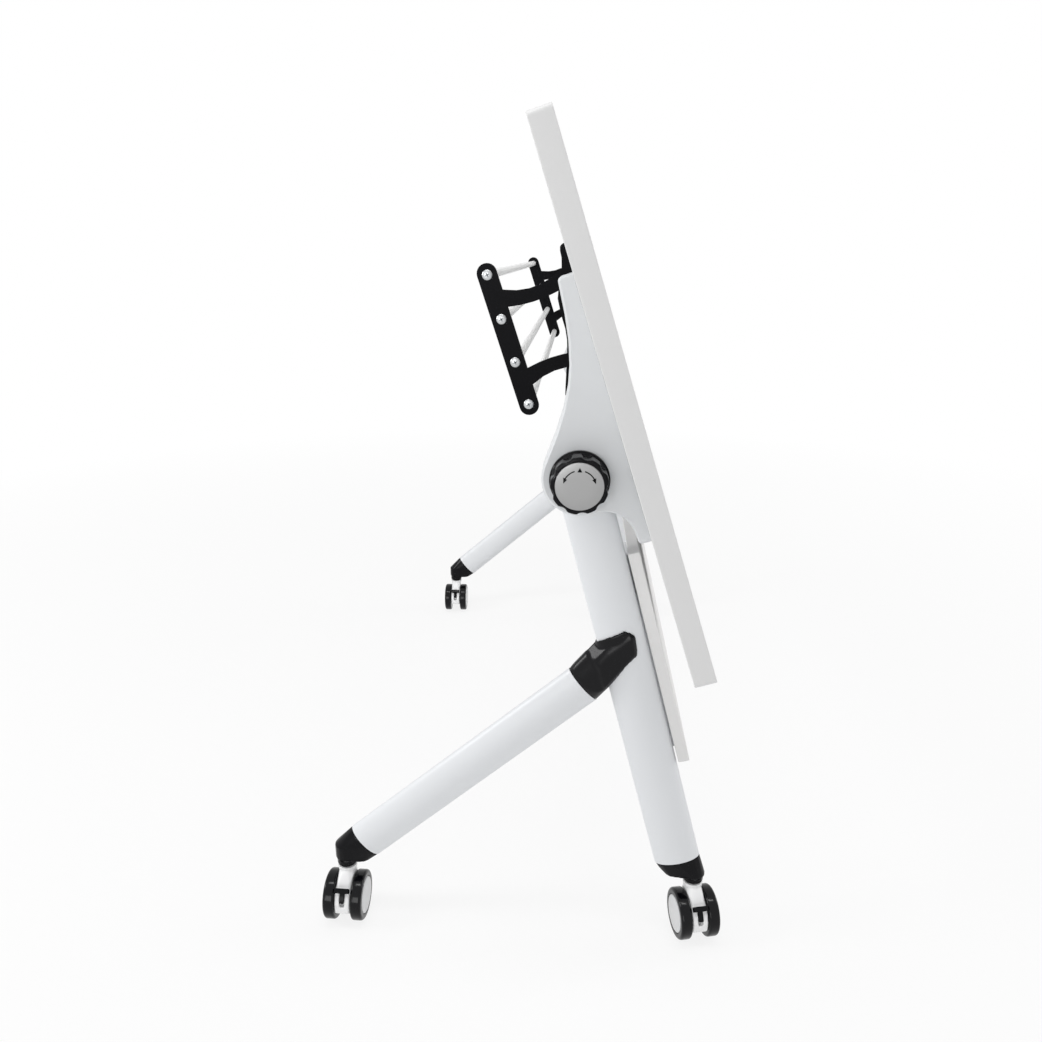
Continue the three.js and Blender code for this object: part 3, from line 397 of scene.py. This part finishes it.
def round_bar(radius, length, centre, wall=0.0):
    shape = bmesh.new()
    bmesh.ops.create_cone(shape, segments=BAR_SIDES, radius1=radius, radius2=radius, depth=length,
                          cap_ends=not wall, matrix=Matrix.Rotation(QUARTER_TURN, 4, "Y"))
    bmesh.ops.translate(shape, vec=centre, verts=shape.verts)
    if wall:
        bmesh.ops.recalc_face_normals(shape, faces=shape.faces)
        bmesh.ops.solidify(shape, geom=shape.faces[:], thickness=wall)
    return shape


beam_low, beam_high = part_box("crossbeam")
beam = round_bar(BEAM_RADIUS, beam_high.x - beam_low.x, PIVOT, wall=BEAM_WALL)
settle("crossbeam_tube", beam, "frame", POWDER, ["crossbeam"])
for number in ROD_NUMBERS:
    low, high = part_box(f"shelf_rod_{number}")
    rod = round_bar(ROD_RADIUS, high.x - low.x, (low + high) / 2)
    # The rods take the lighter copy of the powder coat, painted light over the shade they get.
    piece = settle(f"shelf_rod_{number}_bar", rod, "top", LIT_ROD_POWDER, [f"shelf_rod_{number}"])
    edge_round(piece, ROD_EDGE, angle=ROD_EDGE_ANGLE)
print("crossbeam is", round(beam_high.x - beam_low.x, 3), "m long, with", len(ROD_NUMBERS), "rods above it")

# %% [markdown]
# The leg joint is the black saddle where the foreleg meets the main leg. On the real one a sleeve for the
# foreleg runs into a thicker saddle, with a crease between them and a big round along the upper edge. A
# bevel can't follow that, so the two forms are written as formulas in the foreleg's own frame. Each one
# takes a point, as its places along the table, across the foreleg and along it, and gives the place that
# the point is pressed to.

# %% Leg joint forms
SADDLE_HALF, SLEEVE_HALF, SLEEVE_SLOPE = 0.0190, 0.0147, 0.06
SLEEVE_END, SADDLE_START = -0.0685, -0.0125
RIDGE_START, RIDGE_RISE = -0.0285, 0.0095
CHAMFER, EDGE_BLEND = 1.2, 0.010
CREASE_AT, CREASE_BEND, CREASE_LEAN, CREASE_WIDE = -0.0355, -0.011, 0.45, 0.003


def limited(value):
    return min(1.0, max(0.0, value))


def ridge_at(along):
    return RIDGE_START - RIDGE_RISE * limited((along - SLEEVE_END) / (SADDLE_START - SLEEVE_END))


def sleeve_form(x, across, along):
    half = SLEEVE_HALF + SLEEVE_SLOPE * (along - SLEEVE_END)
    reach = max(1.0, math.hypot(x / half, min(0.0, across) / ridge_at(along)))
    return Vector((x / reach, min(0.0, across) / reach + max(0.0, across), along))


def saddle_form(x, across, along):
    slanted = CHAMFER * (across - ridge_at(along))
    blend = max(0.0, EDGE_BLEND - abs(SADDLE_HALF - slanted))
    over = max(0.0, abs(x) - min(SADDLE_HALF, slanted) + blend * blend / (4 * EDGE_BLEND))
    lean = limited(0.5 + (SADDLE_HALF - slanted) / (2 * EDGE_BLEND)) * CHAMFER / (1 + CHAMFER * CHAMFER)
    depth = max(0.0, abs(x) - over * (1 - lean * CHAMFER))
    return Vector((math.copysign(depth, x), across + over * lean, along))


def pressed(point):
    crease = CREASE_AT - CREASE_LEAN * max(0.0, point.y - CREASE_BEND)
    share = limited(0.5 + (point.z - crease) / (2 * CREASE_WIDE))
    return sleeve_form(*point).lerp(saddle_form(*point), share)


print("joint is", 2 * SLEEVE_HALF, "m thick at its sleeve and", 2 * SADDLE_HALF, "m at its saddle")

# %% [markdown]
# The frame's joint has too few faces to hold those forms. Subdividing would keep its long thin triangles, so
# a copy is remeshed instead: a voxel remesh covers the same solid with small even faces. The modifier's
# result is read back into a bmesh, so that its points can be moved.

# %% Fine copies
JOINT_VOXEL = 0.001


def fine_remesh(piece, voxel):
    remesh = piece.modifiers.new("fine_skin", "REMESH")
    remesh.mode = "VOXEL"
    remesh.voxel_size = voxel
    return remesh


def dense_copy(node, voxel):
    mesh = bpy.data.meshes.new("rough_copy")
    shape = welded(node)
    shape.to_mesh(mesh)
    rough = bpy.data.objects.new("rough_copy", mesh)
    bpy.context.collection.objects.link(rough)
    fine_remesh(rough, voxel)
    shape.clear()
    shape.from_object(rough, bpy.context.evaluated_depsgraph_get())
    bpy.data.objects.remove(rough)
    bpy.data.meshes.remove(mesh)
    return shape


print("leg joint is remeshed to", JOINT_VOXEL, "m")

# %% [markdown]
# The real joint is one moulding that grips the main leg. The fine copy could be sculpted by hand, but
# pressing each point by a formula gives the same result every time. A point that would end inside the main
# leg stops short of it, and rounds of smoothing then melt the edges, as in a real moulding.

# %% Leg joints
PRESS_STEPS, JOINT_ROUNDS, SMOOTH_SHARE = 8, 10, 0.5
HELD_OVAL = (0.0172, 0.0335)
ALL_SMOOTH = 180


def holds_leg(point):
    return math.hypot(point.x / HELD_OVAL[0], point.y / HELD_OVAL[1]) < 1.0


for end, side in ENDS.items():
    fore = foreleg_place(side)
    to_fore, to_leg = fore.inverted(), leg_place(side).inverted()
    shape = dense_copy(f"leg_joint_{end}", JOINT_VOXEL)
    for v in shape.verts:
        point = to_fore @ v.co
        if point.z > SLEEVE_END and not holds_leg(to_leg @ v.co):
            goal = fore @ pressed(point)
            steps = (v.co.lerp(goal, 1 - i / PRESS_STEPS) for i in range(PRESS_STEPS + 1))
            v.co = next((s for s in steps if not holds_leg(to_leg @ s)), v.co)
    for _ in range(JOINT_ROUNDS):
        bmesh.ops.smooth_vert(shape, verts=shape.verts, factor=SMOOTH_SHARE, use_axis_x=True,
                              use_axis_y=True, use_axis_z=True)
    skin = settle(f"leg_joint_{end}_skin", shape, "frame", JOINT_BLACK,
                  [f"leg_joint_{end}"], crease=ALL_SMOOTH)
    print("leg joint", end, "has", len(skin.data.polygons), "faces")

# %% [markdown]
# The leg caps are black injection mouldings, and the caster bodies are the same in white. Such parts have
# melted edges, which a hard bevel can't give. A fine voxel remesh and a few rounds of smoothing can, and
# they keep the frame's shape. The brake pedals, stems and axles are crisper, so they stay copies, and the
# pedals get an edge round.

# %% Mouldings
CAP_VOXEL, CAP_ROUNDS = 0.001, 6
BODY_VOXEL, BODY_ROUNDS = 0.0009, 4
PEDAL_EDGE = 0.0009


def moulded(node, material, voxel, rounds):
    piece = carried(node, material, crease=ALL_SMOOTH)
    fine_remesh(piece, voxel).use_smooth_shade = True
    soften = piece.modifiers.new("soft_edges", "SMOOTH")
    soften.factor = SMOOTH_SHARE
    soften.iterations = rounds


for end in ENDS:
    moulded(f"rear_cap_{end}", BLACK_MOULD, CAP_VOXEL, CAP_ROUNDS)
    moulded(f"front_cap_{end}", BLACK_MOULD, CAP_VOXEL, CAP_ROUNDS)
for place in PLACES:
    moulded(f"caster_body_{place}", WHITE_MOULD, BODY_VOXEL, BODY_ROUNDS)
    carried(f"brake_pedal_{place}", BLACK_MOULD, width=PEDAL_EDGE)
    carried(f"caster_stem_{place}", ZINC)
    carried(f"caster_axle_{place}", ZINC)
print("leg caps:", 2 * len(ENDS), "and casters:", len(PLACES))

# %% [markdown]
# A turned part, such as a wheel, a knob or a screw head, is round about one axis. A cylinder with bevels
# could pass for it, but it is best made as it is turned: half its profile is drawn and spun about the axis.
# These helpers draw a round stretch of a profile, spin the profile about Z, and turn the result to its axis.

# %% Turning helpers
SPIN_STEPS, SPIN_WELD = 96, 0.000002
ARC_STEPS, SMALL_ARC_STEPS = 8, 4


def arc(cx, cy, radius, start, stop, steps=ARC_STEPS):
    turns = [math.radians(start + (stop - start) * i / steps) for i in range(steps + 1)]
    return [(cx + radius * math.cos(t), cy + radius * math.sin(t)) for t in turns]


def spun(profile, steps=SPIN_STEPS):
    shape = bmesh.new()
    points = [shape.verts.new((r, 0, h)) for r, h in profile]
    for a, b in zip(points, points[1:]):
        shape.edges.new((a, b))
    bmesh.ops.spin(shape, geom=shape.edges[:] + shape.verts[:], cent=(0, 0, 0), axis=(0, 0, 1),
                   angle=FULL_TURN, steps=steps, use_merge=True)
    bmesh.ops.remove_doubles(shape, verts=shape.verts, dist=SPIN_WELD)
    bmesh.ops.recalc_face_normals(shape, faces=shape.faces)
    return shape


def pointed(shape, at, along):
    turn = Vector(along).to_track_quat("Z", "X").to_matrix().to_4x4()
    bmesh.ops.transform(shape, matrix=Matrix.Translation(at) @ turn, verts=shape.verts)
    return shape


print("turned parts have", SPIN_STEPS, "steps unless they say otherwise")

# %% [markdown]
# Each caster has two wheels, and a wheel is a glossy black tyre with a pale disc pressed into its face. One
# spun shape with two colours could show both, but they are two mouldings with a groove between them, so
# they are spun as two pieces. The axle's place and direction come from the wheel's own joint.

# %% Wheels
WHEEL_R, FACE_IN, FACE_OUT, DISC_R = 0.0340, 0.0116, 0.0282, 0.0245
BORE_R, BORE_SHORT = 0.0044, 0.0025
BACK_ROUND, BACK_STEPS, SHOULDER, SHOULDER_SINK = 0.003, 5, 0.004, 0.0007
LIP_OUT, LIP_IN, LIP_SINK, SEAT_SINK = 0.0012, 0.0006, 0.001, 0.0022
DISC_SINK, DISC_ROUND, DISC_EDGE_SINK = 0.0021, 0.0008, 0.0012
CROWN_R, CROWN_FLAT_R, CROWN_SINK = 0.017, 0.008, 0.0001

bore_end, seat = FACE_OUT - BORE_SHORT, FACE_OUT - SEAT_SINK
tyre_profile = [(0.0, bore_end), (BORE_R, bore_end), (BORE_R, FACE_IN), (WHEEL_R - BACK_ROUND, FACE_IN)]
tyre_profile += arc(WHEEL_R - BACK_ROUND, FACE_IN + BACK_ROUND, BACK_ROUND, -90, 0, BACK_STEPS)
tyre_profile += arc(WHEEL_R - SHOULDER, FACE_OUT - SHOULDER_SINK - SHOULDER, SHOULDER, 0, 90)
tyre_profile += [(DISC_R + LIP_OUT, FACE_OUT - LIP_SINK), (DISC_R + LIP_IN, seat), (0.0, seat)]
disc_profile = [(0.0, FACE_OUT - DISC_SINK), (DISC_R, FACE_OUT - DISC_SINK)]
disc_profile += arc(DISC_R - DISC_ROUND, FACE_OUT - DISC_EDGE_SINK, DISC_ROUND, 0, 90, SMALL_ARC_STEPS)
disc_profile += [(CROWN_R, FACE_OUT - CROWN_SINK), (CROWN_FLAT_R, FACE_OUT), (0.0, FACE_OUT)]
for place in PLACES:
    for label, hand in (("outer", 1), ("inner", -1)):
        roll = joint[f"roll_{label}_{place}"]
        along = hand * Vector(roll["axis"])
        rider = f"wheel_{label}_{place}"
        tyre = pointed(spun(tyre_profile), roll["pos_m"], along)
        settle(f"tyre_{label}_{place}", tyre, rider, TYRE, [f"caster_wheel_{label}_{place}"])
        disc = pointed(spun(disc_profile), roll["pos_m"], along)
        settle(f"wheel_disc_{label}_{place}", disc, rider, HUB_GREY)
print("wheels:", 2 * len(PLACES), "of", 2 * WHEEL_R, "m across")

# %% [markdown]
# The release knob is a round grip with scallops for the fingers. Cutting them with booleans would leave a
# ragged mesh, so the knob is spun and the scallops are pressed in afterwards: each vertex near a scallop's
# middle line is moved towards the axis. A scallop fades in past the skirt and runs out over the rim. Half
# its width is given as a share of the step from one scallop to the next.

# %% Knob shape
KNOB_R, WAIST_R, FACE_R = 0.0355, 0.03375, 0.0282
KNOB_BACK, KNOB_FRONT = 0.024, 0.056
KNOB_STEPS, KNOB_BACK_ROUND, SKIRT_TALL = 180, 0.001, 0.005
GRIP_START, GRIP_STEP, GRIP_ROWS = 0.0062, 0.0012, 18
RIM_ROUND, RIM_STEPS, RIM_WIDE = 0.003, 6, 0.0006
FACE_GAP, FACE_SINK = 0.0003, 0.002
SCALLOPS, SCALLOP_FIRST, SCALLOP_DEEP, SCALLOP_HALF = 9, math.radians(76), 0.0024, 0.27
SCALLOP_START, SCALLOP_FADE = KNOB_BACK + 0.0065, 0.003
RIM_KEPT, RIM_FADE_START, RIM_FADE = 0.0015, 0.0012, 0.003


def knob_profile():
    back = KNOB_R - KNOB_BACK_ROUND
    profile = [(0.0, KNOB_BACK), (back, KNOB_BACK)]
    profile += arc(back, KNOB_BACK + KNOB_BACK_ROUND, KNOB_BACK_ROUND, -90, 0, SMALL_ARC_STEPS)
    profile += [(KNOB_R, KNOB_BACK + SKIRT_TALL)]
    profile += [(WAIST_R, KNOB_BACK + GRIP_START + GRIP_STEP * row) for row in range(GRIP_ROWS)]
    profile += arc(WAIST_R - RIM_ROUND, KNOB_FRONT - RIM_ROUND, RIM_ROUND, 0, 90, RIM_STEPS)
    profile += [(FACE_R + RIM_WIDE, KNOB_FRONT), (FACE_R + FACE_GAP, KNOB_FRONT - FACE_GAP)]
    return profile + [(FACE_R + FACE_GAP, KNOB_FRONT - FACE_SINK), (0.0, KNOB_FRONT - FACE_SINK)]


def knob_shape():
    shape = spun(knob_profile(), steps=KNOB_STEPS)
    for v in shape.verts:
        radius = math.hypot(v.co.x, v.co.y)
        turn = (math.atan2(v.co.y, v.co.x) - SCALLOP_FIRST) * SCALLOPS / FULL_TURN
        across = (turn - round(turn)) / SCALLOP_HALF
        along = min(1.0, (v.co.z - SCALLOP_START) / SCALLOP_FADE)
        if radius > FACE_R + RIM_KEPT and abs(across) < 1.0 and along > 0.0:
            inward = min(1.0, (radius - FACE_R - RIM_FADE_START) / RIM_FADE)
            sink = SCALLOP_DEEP * along * (1.0 - across * across) * inward
            v.co.x *= (radius - sink) / radius
            v.co.y *= (radius - sink) / radius
    return shape


print("knob is", 2 * KNOB_R, "m across with", SCALLOPS, "scallops")

# %% [markdown]
# One knob sits on each end of the flip axis, with a slightly crowned silver disc set in its face. The disc
# could be a flat circle, but the crown lets the light roll over it. The left knob is not a mirrored copy:
# it is turned round to face the other way, so that its marks will still read from outside.

# %% Knobs
FACE_BACK, FACE_EDGE, FACE_ROUND = 0.0017, 0.0006, 0.0008
FACE_CROWN_R, FACE_CROWN_EDGE, FACE_CROWN_TOP = 0.015, 0.0003, 0.0004


def facing(side):
    return Matrix(((0, 0, side, 0), (side, 0, 0, 0), (0, 1, 0, 0), (0, 0, 0, 1)))


face_profile = [(0.0, KNOB_FRONT - FACE_BACK), (FACE_R, KNOB_FRONT - FACE_BACK)]
face_profile += [(FACE_R, KNOB_FRONT - FACE_EDGE)]
face_profile += arc(FACE_R - FACE_ROUND, KNOB_FRONT - FACE_EDGE, FACE_ROUND, 0, 90, SMALL_ARC_STEPS)
face_profile += [(FACE_CROWN_R, KNOB_FRONT + FACE_CROWN_EDGE), (0.0, KNOB_FRONT + FACE_CROWN_TOP)]
for end, side in ENDS.items():
    grip = knob_shape()
    bmesh.ops.transform(grip, matrix=Matrix.Translation(hub_at(side)) @ facing(side), verts=grip.verts)
    settle(f"knob_{end}_grip", grip, f"knob_{end}", KNOB_BLACK, [f"knob_{end}"])
    face = pointed(spun(face_profile), hub_at(side), (side, 0, 0))
    settle(f"knob_{end}_face", face, f"knob_{end}", DISC, [f"knob_disc_{end}"])
print("knobs:", len(ENDS), "with their discs")

# %% [markdown]
# The disc carries plain printed marks: a small pointer at the top for the locked place, and a curved arrow
# on each side for the turn that frees the top. A mask in the disc's material could draw them, but thin flat
# meshes stay sharp at any distance. An arrow's line is a row of points on a circle, widened by an extrude,
# and its head and the pointer are triangles. Angles are in degrees from the pointer.

# %% Mark shapes
MARK_R, MARK_WIDE = 0.0182, 0.0014
ARROW_START, ARROW_STOP, ARROW_STEPS = 18, 62, 20


def on_circle(radius, degrees):
    turn = math.radians(90 + degrees)
    return radius * math.cos(turn), radius * math.sin(turn)


def mark_ring(shape, hand, height):
    stretch = ARROW_STOP - ARROW_START
    turns = [hand * (ARROW_START + stretch * i / ARROW_STEPS) for i in range(ARROW_STEPS + 1)]
    inner = [shape.verts.new((*on_circle(MARK_R, turn), height)) for turn in turns]
    edges = [shape.edges.new(pair) for pair in zip(inner, inner[1:])]
    moved = bmesh.ops.extrude_edge_only(shape, edges=edges)["geom"]
    outer = [v for v in moved if isinstance(v, bmesh.types.BMVert)]
    grow = (MARK_R + MARK_WIDE) / MARK_R
    bmesh.ops.scale(shape, vec=(grow, grow, 1), verts=outer)


def mark_triangle(shape, corners, height):
    shape.faces.new([shape.verts.new((x, y, height)) for x, y in corners])


print("arrow lines run from", ARROW_START, "to", ARROW_STOP, "degrees,", MARK_R, "m from the middle")

# %% [markdown]
# Real marks are printed in one go, as a film of ink. Each could be a piece of its own, but they always move
# together, so the marks of a disc are one mesh. They get a thin wall, which closes the mesh, and sit a hair
# above the disc, so that the two faces don't flicker through each other.

# %% Printed marks
MARK_THICK, MARK_LIFT = 0.0001, 0.00045
POINTER_HALF, POINTER_BASE, POINTER_TIP = 0.0028, 0.0170, 0.0223
HEAD_BASE, HEAD_TIP, HEAD_HALF = 60, 79, 0.0025


def marks():
    shape = bmesh.new()
    height = KNOB_FRONT + MARK_LIFT
    middle = MARK_R + MARK_WIDE / 2
    pointer = [(-POINTER_HALF, POINTER_BASE), (POINTER_HALF, POINTER_BASE), (0.0, POINTER_TIP)]
    mark_triangle(shape, pointer, height)
    for hand in (1, -1):
        mark_ring(shape, hand, height)
        head = [on_circle(middle, HEAD_TIP * hand)]
        head += [on_circle(radius, HEAD_BASE * hand) for radius in (middle + HEAD_HALF, middle - HEAD_HALF)]
        mark_triangle(shape, head, height)
    bmesh.ops.recalc_face_normals(shape, faces=shape.faces)
    bmesh.ops.solidify(shape, geom=shape.faces[:], thickness=MARK_THICK)
    return shape


for end, side in ENDS.items():
    print_shape = marks()
    bmesh.ops.transform(print_shape, matrix=Matrix.Translation(hub_at(side)) @ facing(side),
                        verts=print_shape.verts)
    settle(f"knob_{end}_marks", print_shape, f"knob_{end}", MARK)
print("marks on", len(ENDS), "discs")

# %% [markdown]
# Each shelf rod is held by a zinc pan head screw through the black plate. A bump could draw a screw, but it
# would have no outline from the side, so the head is spun. Its cross is drawn by two thin dark bars, sunk
# most of the way into the top of the head. Their dark grey is painted shade, because a real cut this small
# only shows as the shadow inside it.

# %% Shelf screws
SCREW_R, SCREW_RIM, SCREW_DOME, SCREW_STEPS = 0.0062, 0.0006, 0.0018, 32
DOME_TURNS = (0.3, 0.6, 0.9, 1.2, 1.4)
SCREW_SEAT_X = 0.494
CROSS_BAR, CROSS_LIFT, CROSS_TURN = (0.0052, 0.0013, 0.0006), 0.0023, 0.5


def screw_head():
    profile = [(0.0, 0.0), (SCREW_R, 0.0), (SCREW_R, SCREW_RIM)]
    profile += [(SCREW_R * math.cos(t), SCREW_RIM + SCREW_DOME * math.sin(t)) for t in DOME_TURNS]
    profile += [(0.0, SCREW_RIM + SCREW_DOME)]
    return spun(profile, steps=SCREW_STEPS)


def screw_cross():
    shape = bmesh.new()
    for turn in (CROSS_TURN, CROSS_TURN + QUARTER_TURN):
        arm = bmesh.ops.create_cube(shape, size=1.0)["verts"]
        bmesh.ops.scale(shape, vec=CROSS_BAR, verts=arm)
        bmesh.ops.rotate(shape, cent=(0, 0, 0), matrix=Matrix.Rotation(turn, 3, "Z"), verts=arm)
        bmesh.ops.translate(shape, vec=(0, 0, CROSS_LIFT), verts=arm)
    return shape


for end, side in ENDS.items():
    for number in ROD_NUMBERS:
        low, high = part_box(f"shelf_rod_{number}")
        screw_at = Vector((side * SCREW_SEAT_X, (low.y + high.y) / 2, (low.z + high.z) / 2))
        head = pointed(screw_head(), screw_at, (side, 0, 0))
        settle(f"shelf_screw_{end}_{number}", head, "top", ZINC)
        cross = pointed(screw_cross(), screw_at, (side, 0, 0))
        # The cross bars carry painted shade for the recess.
        settle(f"shelf_screw_{end}_{number}_cross", cross, "top", RECESS_SHADE)
print("shelf screws:", len(ENDS) * len(ROD_NUMBERS))

# %% [markdown]
# The studio floor is a wide pale sheet. It could be lit until it is white, but that much light would burn
# out the white table. So it is lit like any surface, which keeps the soft shadows under the wheels, and a
# share of it glows. Only the camera and reflections see that glow, so it gives the table no other light. It
# grows with the distance from the table, so that the floor and the surround meet unseen.

# %% Floor finish
FLOOR_GREY, FLOOR_ROUGH = (0.82, 0.82, 0.82, 1), 0.9
WHITE = (1, 1, 1, 1)
GLOW_SPREAD = {"From Min": 0.8, "From Max": 3.0, "To Min": 0.84, "To Max": 1.0}


def background_rays(tree):
    path = tree.nodes.new("ShaderNodeLightPath")
    mirrored = maths(tree, "MAXIMUM", path.outputs["Is Glossy Ray"], path.outputs["Is Transmission Ray"])
    return maths(tree, "MAXIMUM", path.outputs["Is Camera Ray"], mirrored)


def floor_finish():
    material = bpy.data.materials.new("studio_floor")
    material.use_nodes = True
    tree = material.node_tree
    ground = tree.nodes["Principled BSDF"]
    ground.inputs["Base Color"].default_value = FLOOR_GREY
    ground.inputs["Roughness"].default_value = FLOOR_ROUGH
    glow = tree.nodes.new("ShaderNodeEmission")
    glow.inputs["Color"].default_value = WHITE
    spot = tree.nodes.new("ShaderNodeTexCoord")
    away = tree.nodes.new("ShaderNodeVectorMath")
    away.operation = "LENGTH"
    tree.links.new(spot.outputs["Object"], away.inputs[0])
    spread = tree.nodes.new("ShaderNodeMapRange")
    for label, value in GLOW_SPREAD.items():
        spread.inputs[label].default_value = value
    tree.links.new(away.outputs["Value"], spread.inputs["Value"])
    blend = tree.nodes.new("ShaderNodeMixShader")
    feed(tree, blend.inputs["Fac"], maths(tree, "MULTIPLY", background_rays(tree), spread.outputs["Result"]))
    tree.links.new(ground.outputs[0], blend.inputs[1])
    tree.links.new(glow.outputs[0], blend.inputs[2])
    tree.links.new(blend.outputs[0], tree.nodes["Material Output"].inputs["Surface"])
    return material


print("floor glows from", GLOW_SPREAD["To Min"], "near the table to", GLOW_SPREAD["To Max"], "far away")

# %% [markdown]
# The sheet could be a studio sweep that curves up behind the table, but the glow already hides where the
# floor ends, so one flat face is enough. It is marked as stage, since it is no part of the table.

# %% Floor
FLOOR_HALF = 30.0

floor_shape = bmesh.new()
bmesh.ops.create_grid(floor_shape, x_segments=1, y_segments=1, size=FLOOR_HALF)
floor_mesh = bpy.data.meshes.new("floor")
floor_shape.to_mesh(floor_mesh)
floor_shape.free()
floor_mesh.materials.append(floor_finish())
floor = bpy.data.objects.new("floor", floor_mesh)
bpy.context.collection.objects.link(floor)
floor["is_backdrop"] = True
print("floor is", 2 * FLOOR_HALF, "m wide")

# %% [markdown]
# The surround is the world's own light, an even white. A sky picture could light the table too, but it would
# bring colours with it. The room lights the table at half strength, and only the camera and reflections see
# it at full white.

# %% Surround
ROOM_LIGHT = 0.5

world = bpy.data.worlds.new("studio")
bpy.context.scene.world = world
world.use_nodes = True
room = world.node_tree.nodes["Background"]
room.inputs["Color"].default_value = WHITE
seen_more = maths(world.node_tree, "MULTIPLY", background_rays(world.node_tree), 1.0 - ROOM_LIGHT)
feed(world.node_tree, room.inputs["Strength"], maths(world.node_tree, "ADD", seen_more, ROOM_LIGHT))
print("room lights the table at", ROOM_LIGHT)

# %% [markdown]
# A photographer would light this white table with soft boxes. One big lamp would do, but it would leave the
# glossy black parts flat. So a narrow strip overhead and a small lamp on the shelf side draw the highlights
# on the tyres and the black mouldings, and two large ones stand at the front and behind. Large lamps give
# soft gradients on the tubes and faint shadows, and the boards have to read as pale from every side.

# %% Lamps
def softbox(name, at, aim, size, power):
    lamp = bpy.data.lights.new(name, "AREA")
    lamp.shape = "RECTANGLE"
    lamp.size, lamp.size_y = size
    lamp.energy = power
    holder = bpy.data.objects.new(name, lamp)
    holder.location = at
    holder.rotation_mode = "QUATERNION"
    holder.rotation_quaternion = (Vector(aim) - Vector(at)).to_track_quat("-Z", "Y")
    bpy.context.collection.objects.link(holder)


softbox("overhead", at=(0.9, 0.15, 3.2), aim=(0.1, 0.15, 0.5), size=(2.6, 0.3), power=28)
softbox("front", at=(4.5, -1.0, 1.1), aim=(0.3, 0, 0.5), size=(1.6, 1.6), power=33)
softbox("behind", at=(-0.8, 3.6, 1.6), aim=(0, 0, 0.7), size=(1.6, 1.6), power=40)
softbox("shelf_side", at=(0.86, -2.4, 1.57), aim=(0.2, 0, 0.5), size=(0.8, 0.8), power=24)
print("lamps:", len(bpy.data.lights))

# %% [markdown]
# The camera stands off the table's end, a little above the knob, as the photograph was taken. It could be
# placed by eye, but its place, aim and lens were fitted to points of the photograph, together with the
# table's sizes, so that the picture and the photograph can be laid over each other.

# %% Camera
SENSOR_MM, LENS_MM, CLIP_START = 36.0, 29.04, 0.05
EYE_X, EYE_PAST_PIVOT, EYE_Z = 1.5196, -0.0021, 0.9108
LOOK = Vector((-0.9498, -0.0664, -0.3057))

eye = bpy.data.cameras.new("camera")
eye.sensor_width = SENSOR_MM
eye.lens = LENS_MM
eye.clip_start = CLIP_START
camera = bpy.data.objects.new("camera", eye)
camera.location = (EYE_X, PIVOT.y + EYE_PAST_PIVOT, EYE_Z)
camera.rotation_mode = "QUATERNION"
camera.rotation_quaternion = LOOK.to_track_quat("-Z", "Y")
bpy.context.collection.objects.link(camera)
bpy.context.scene.camera = camera
bpy.context.scene.view_settings.view_transform = "Standard"
print("camera at", tuple(round(v, 4) for v in camera.location), "with a lens of", LENS_MM, "mm")

# %% [markdown]
# A real product has one size, so the visual model has to keep to the frame's box. The last line measures
# the box of every piece that is shown, leaving out the floor.

low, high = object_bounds()
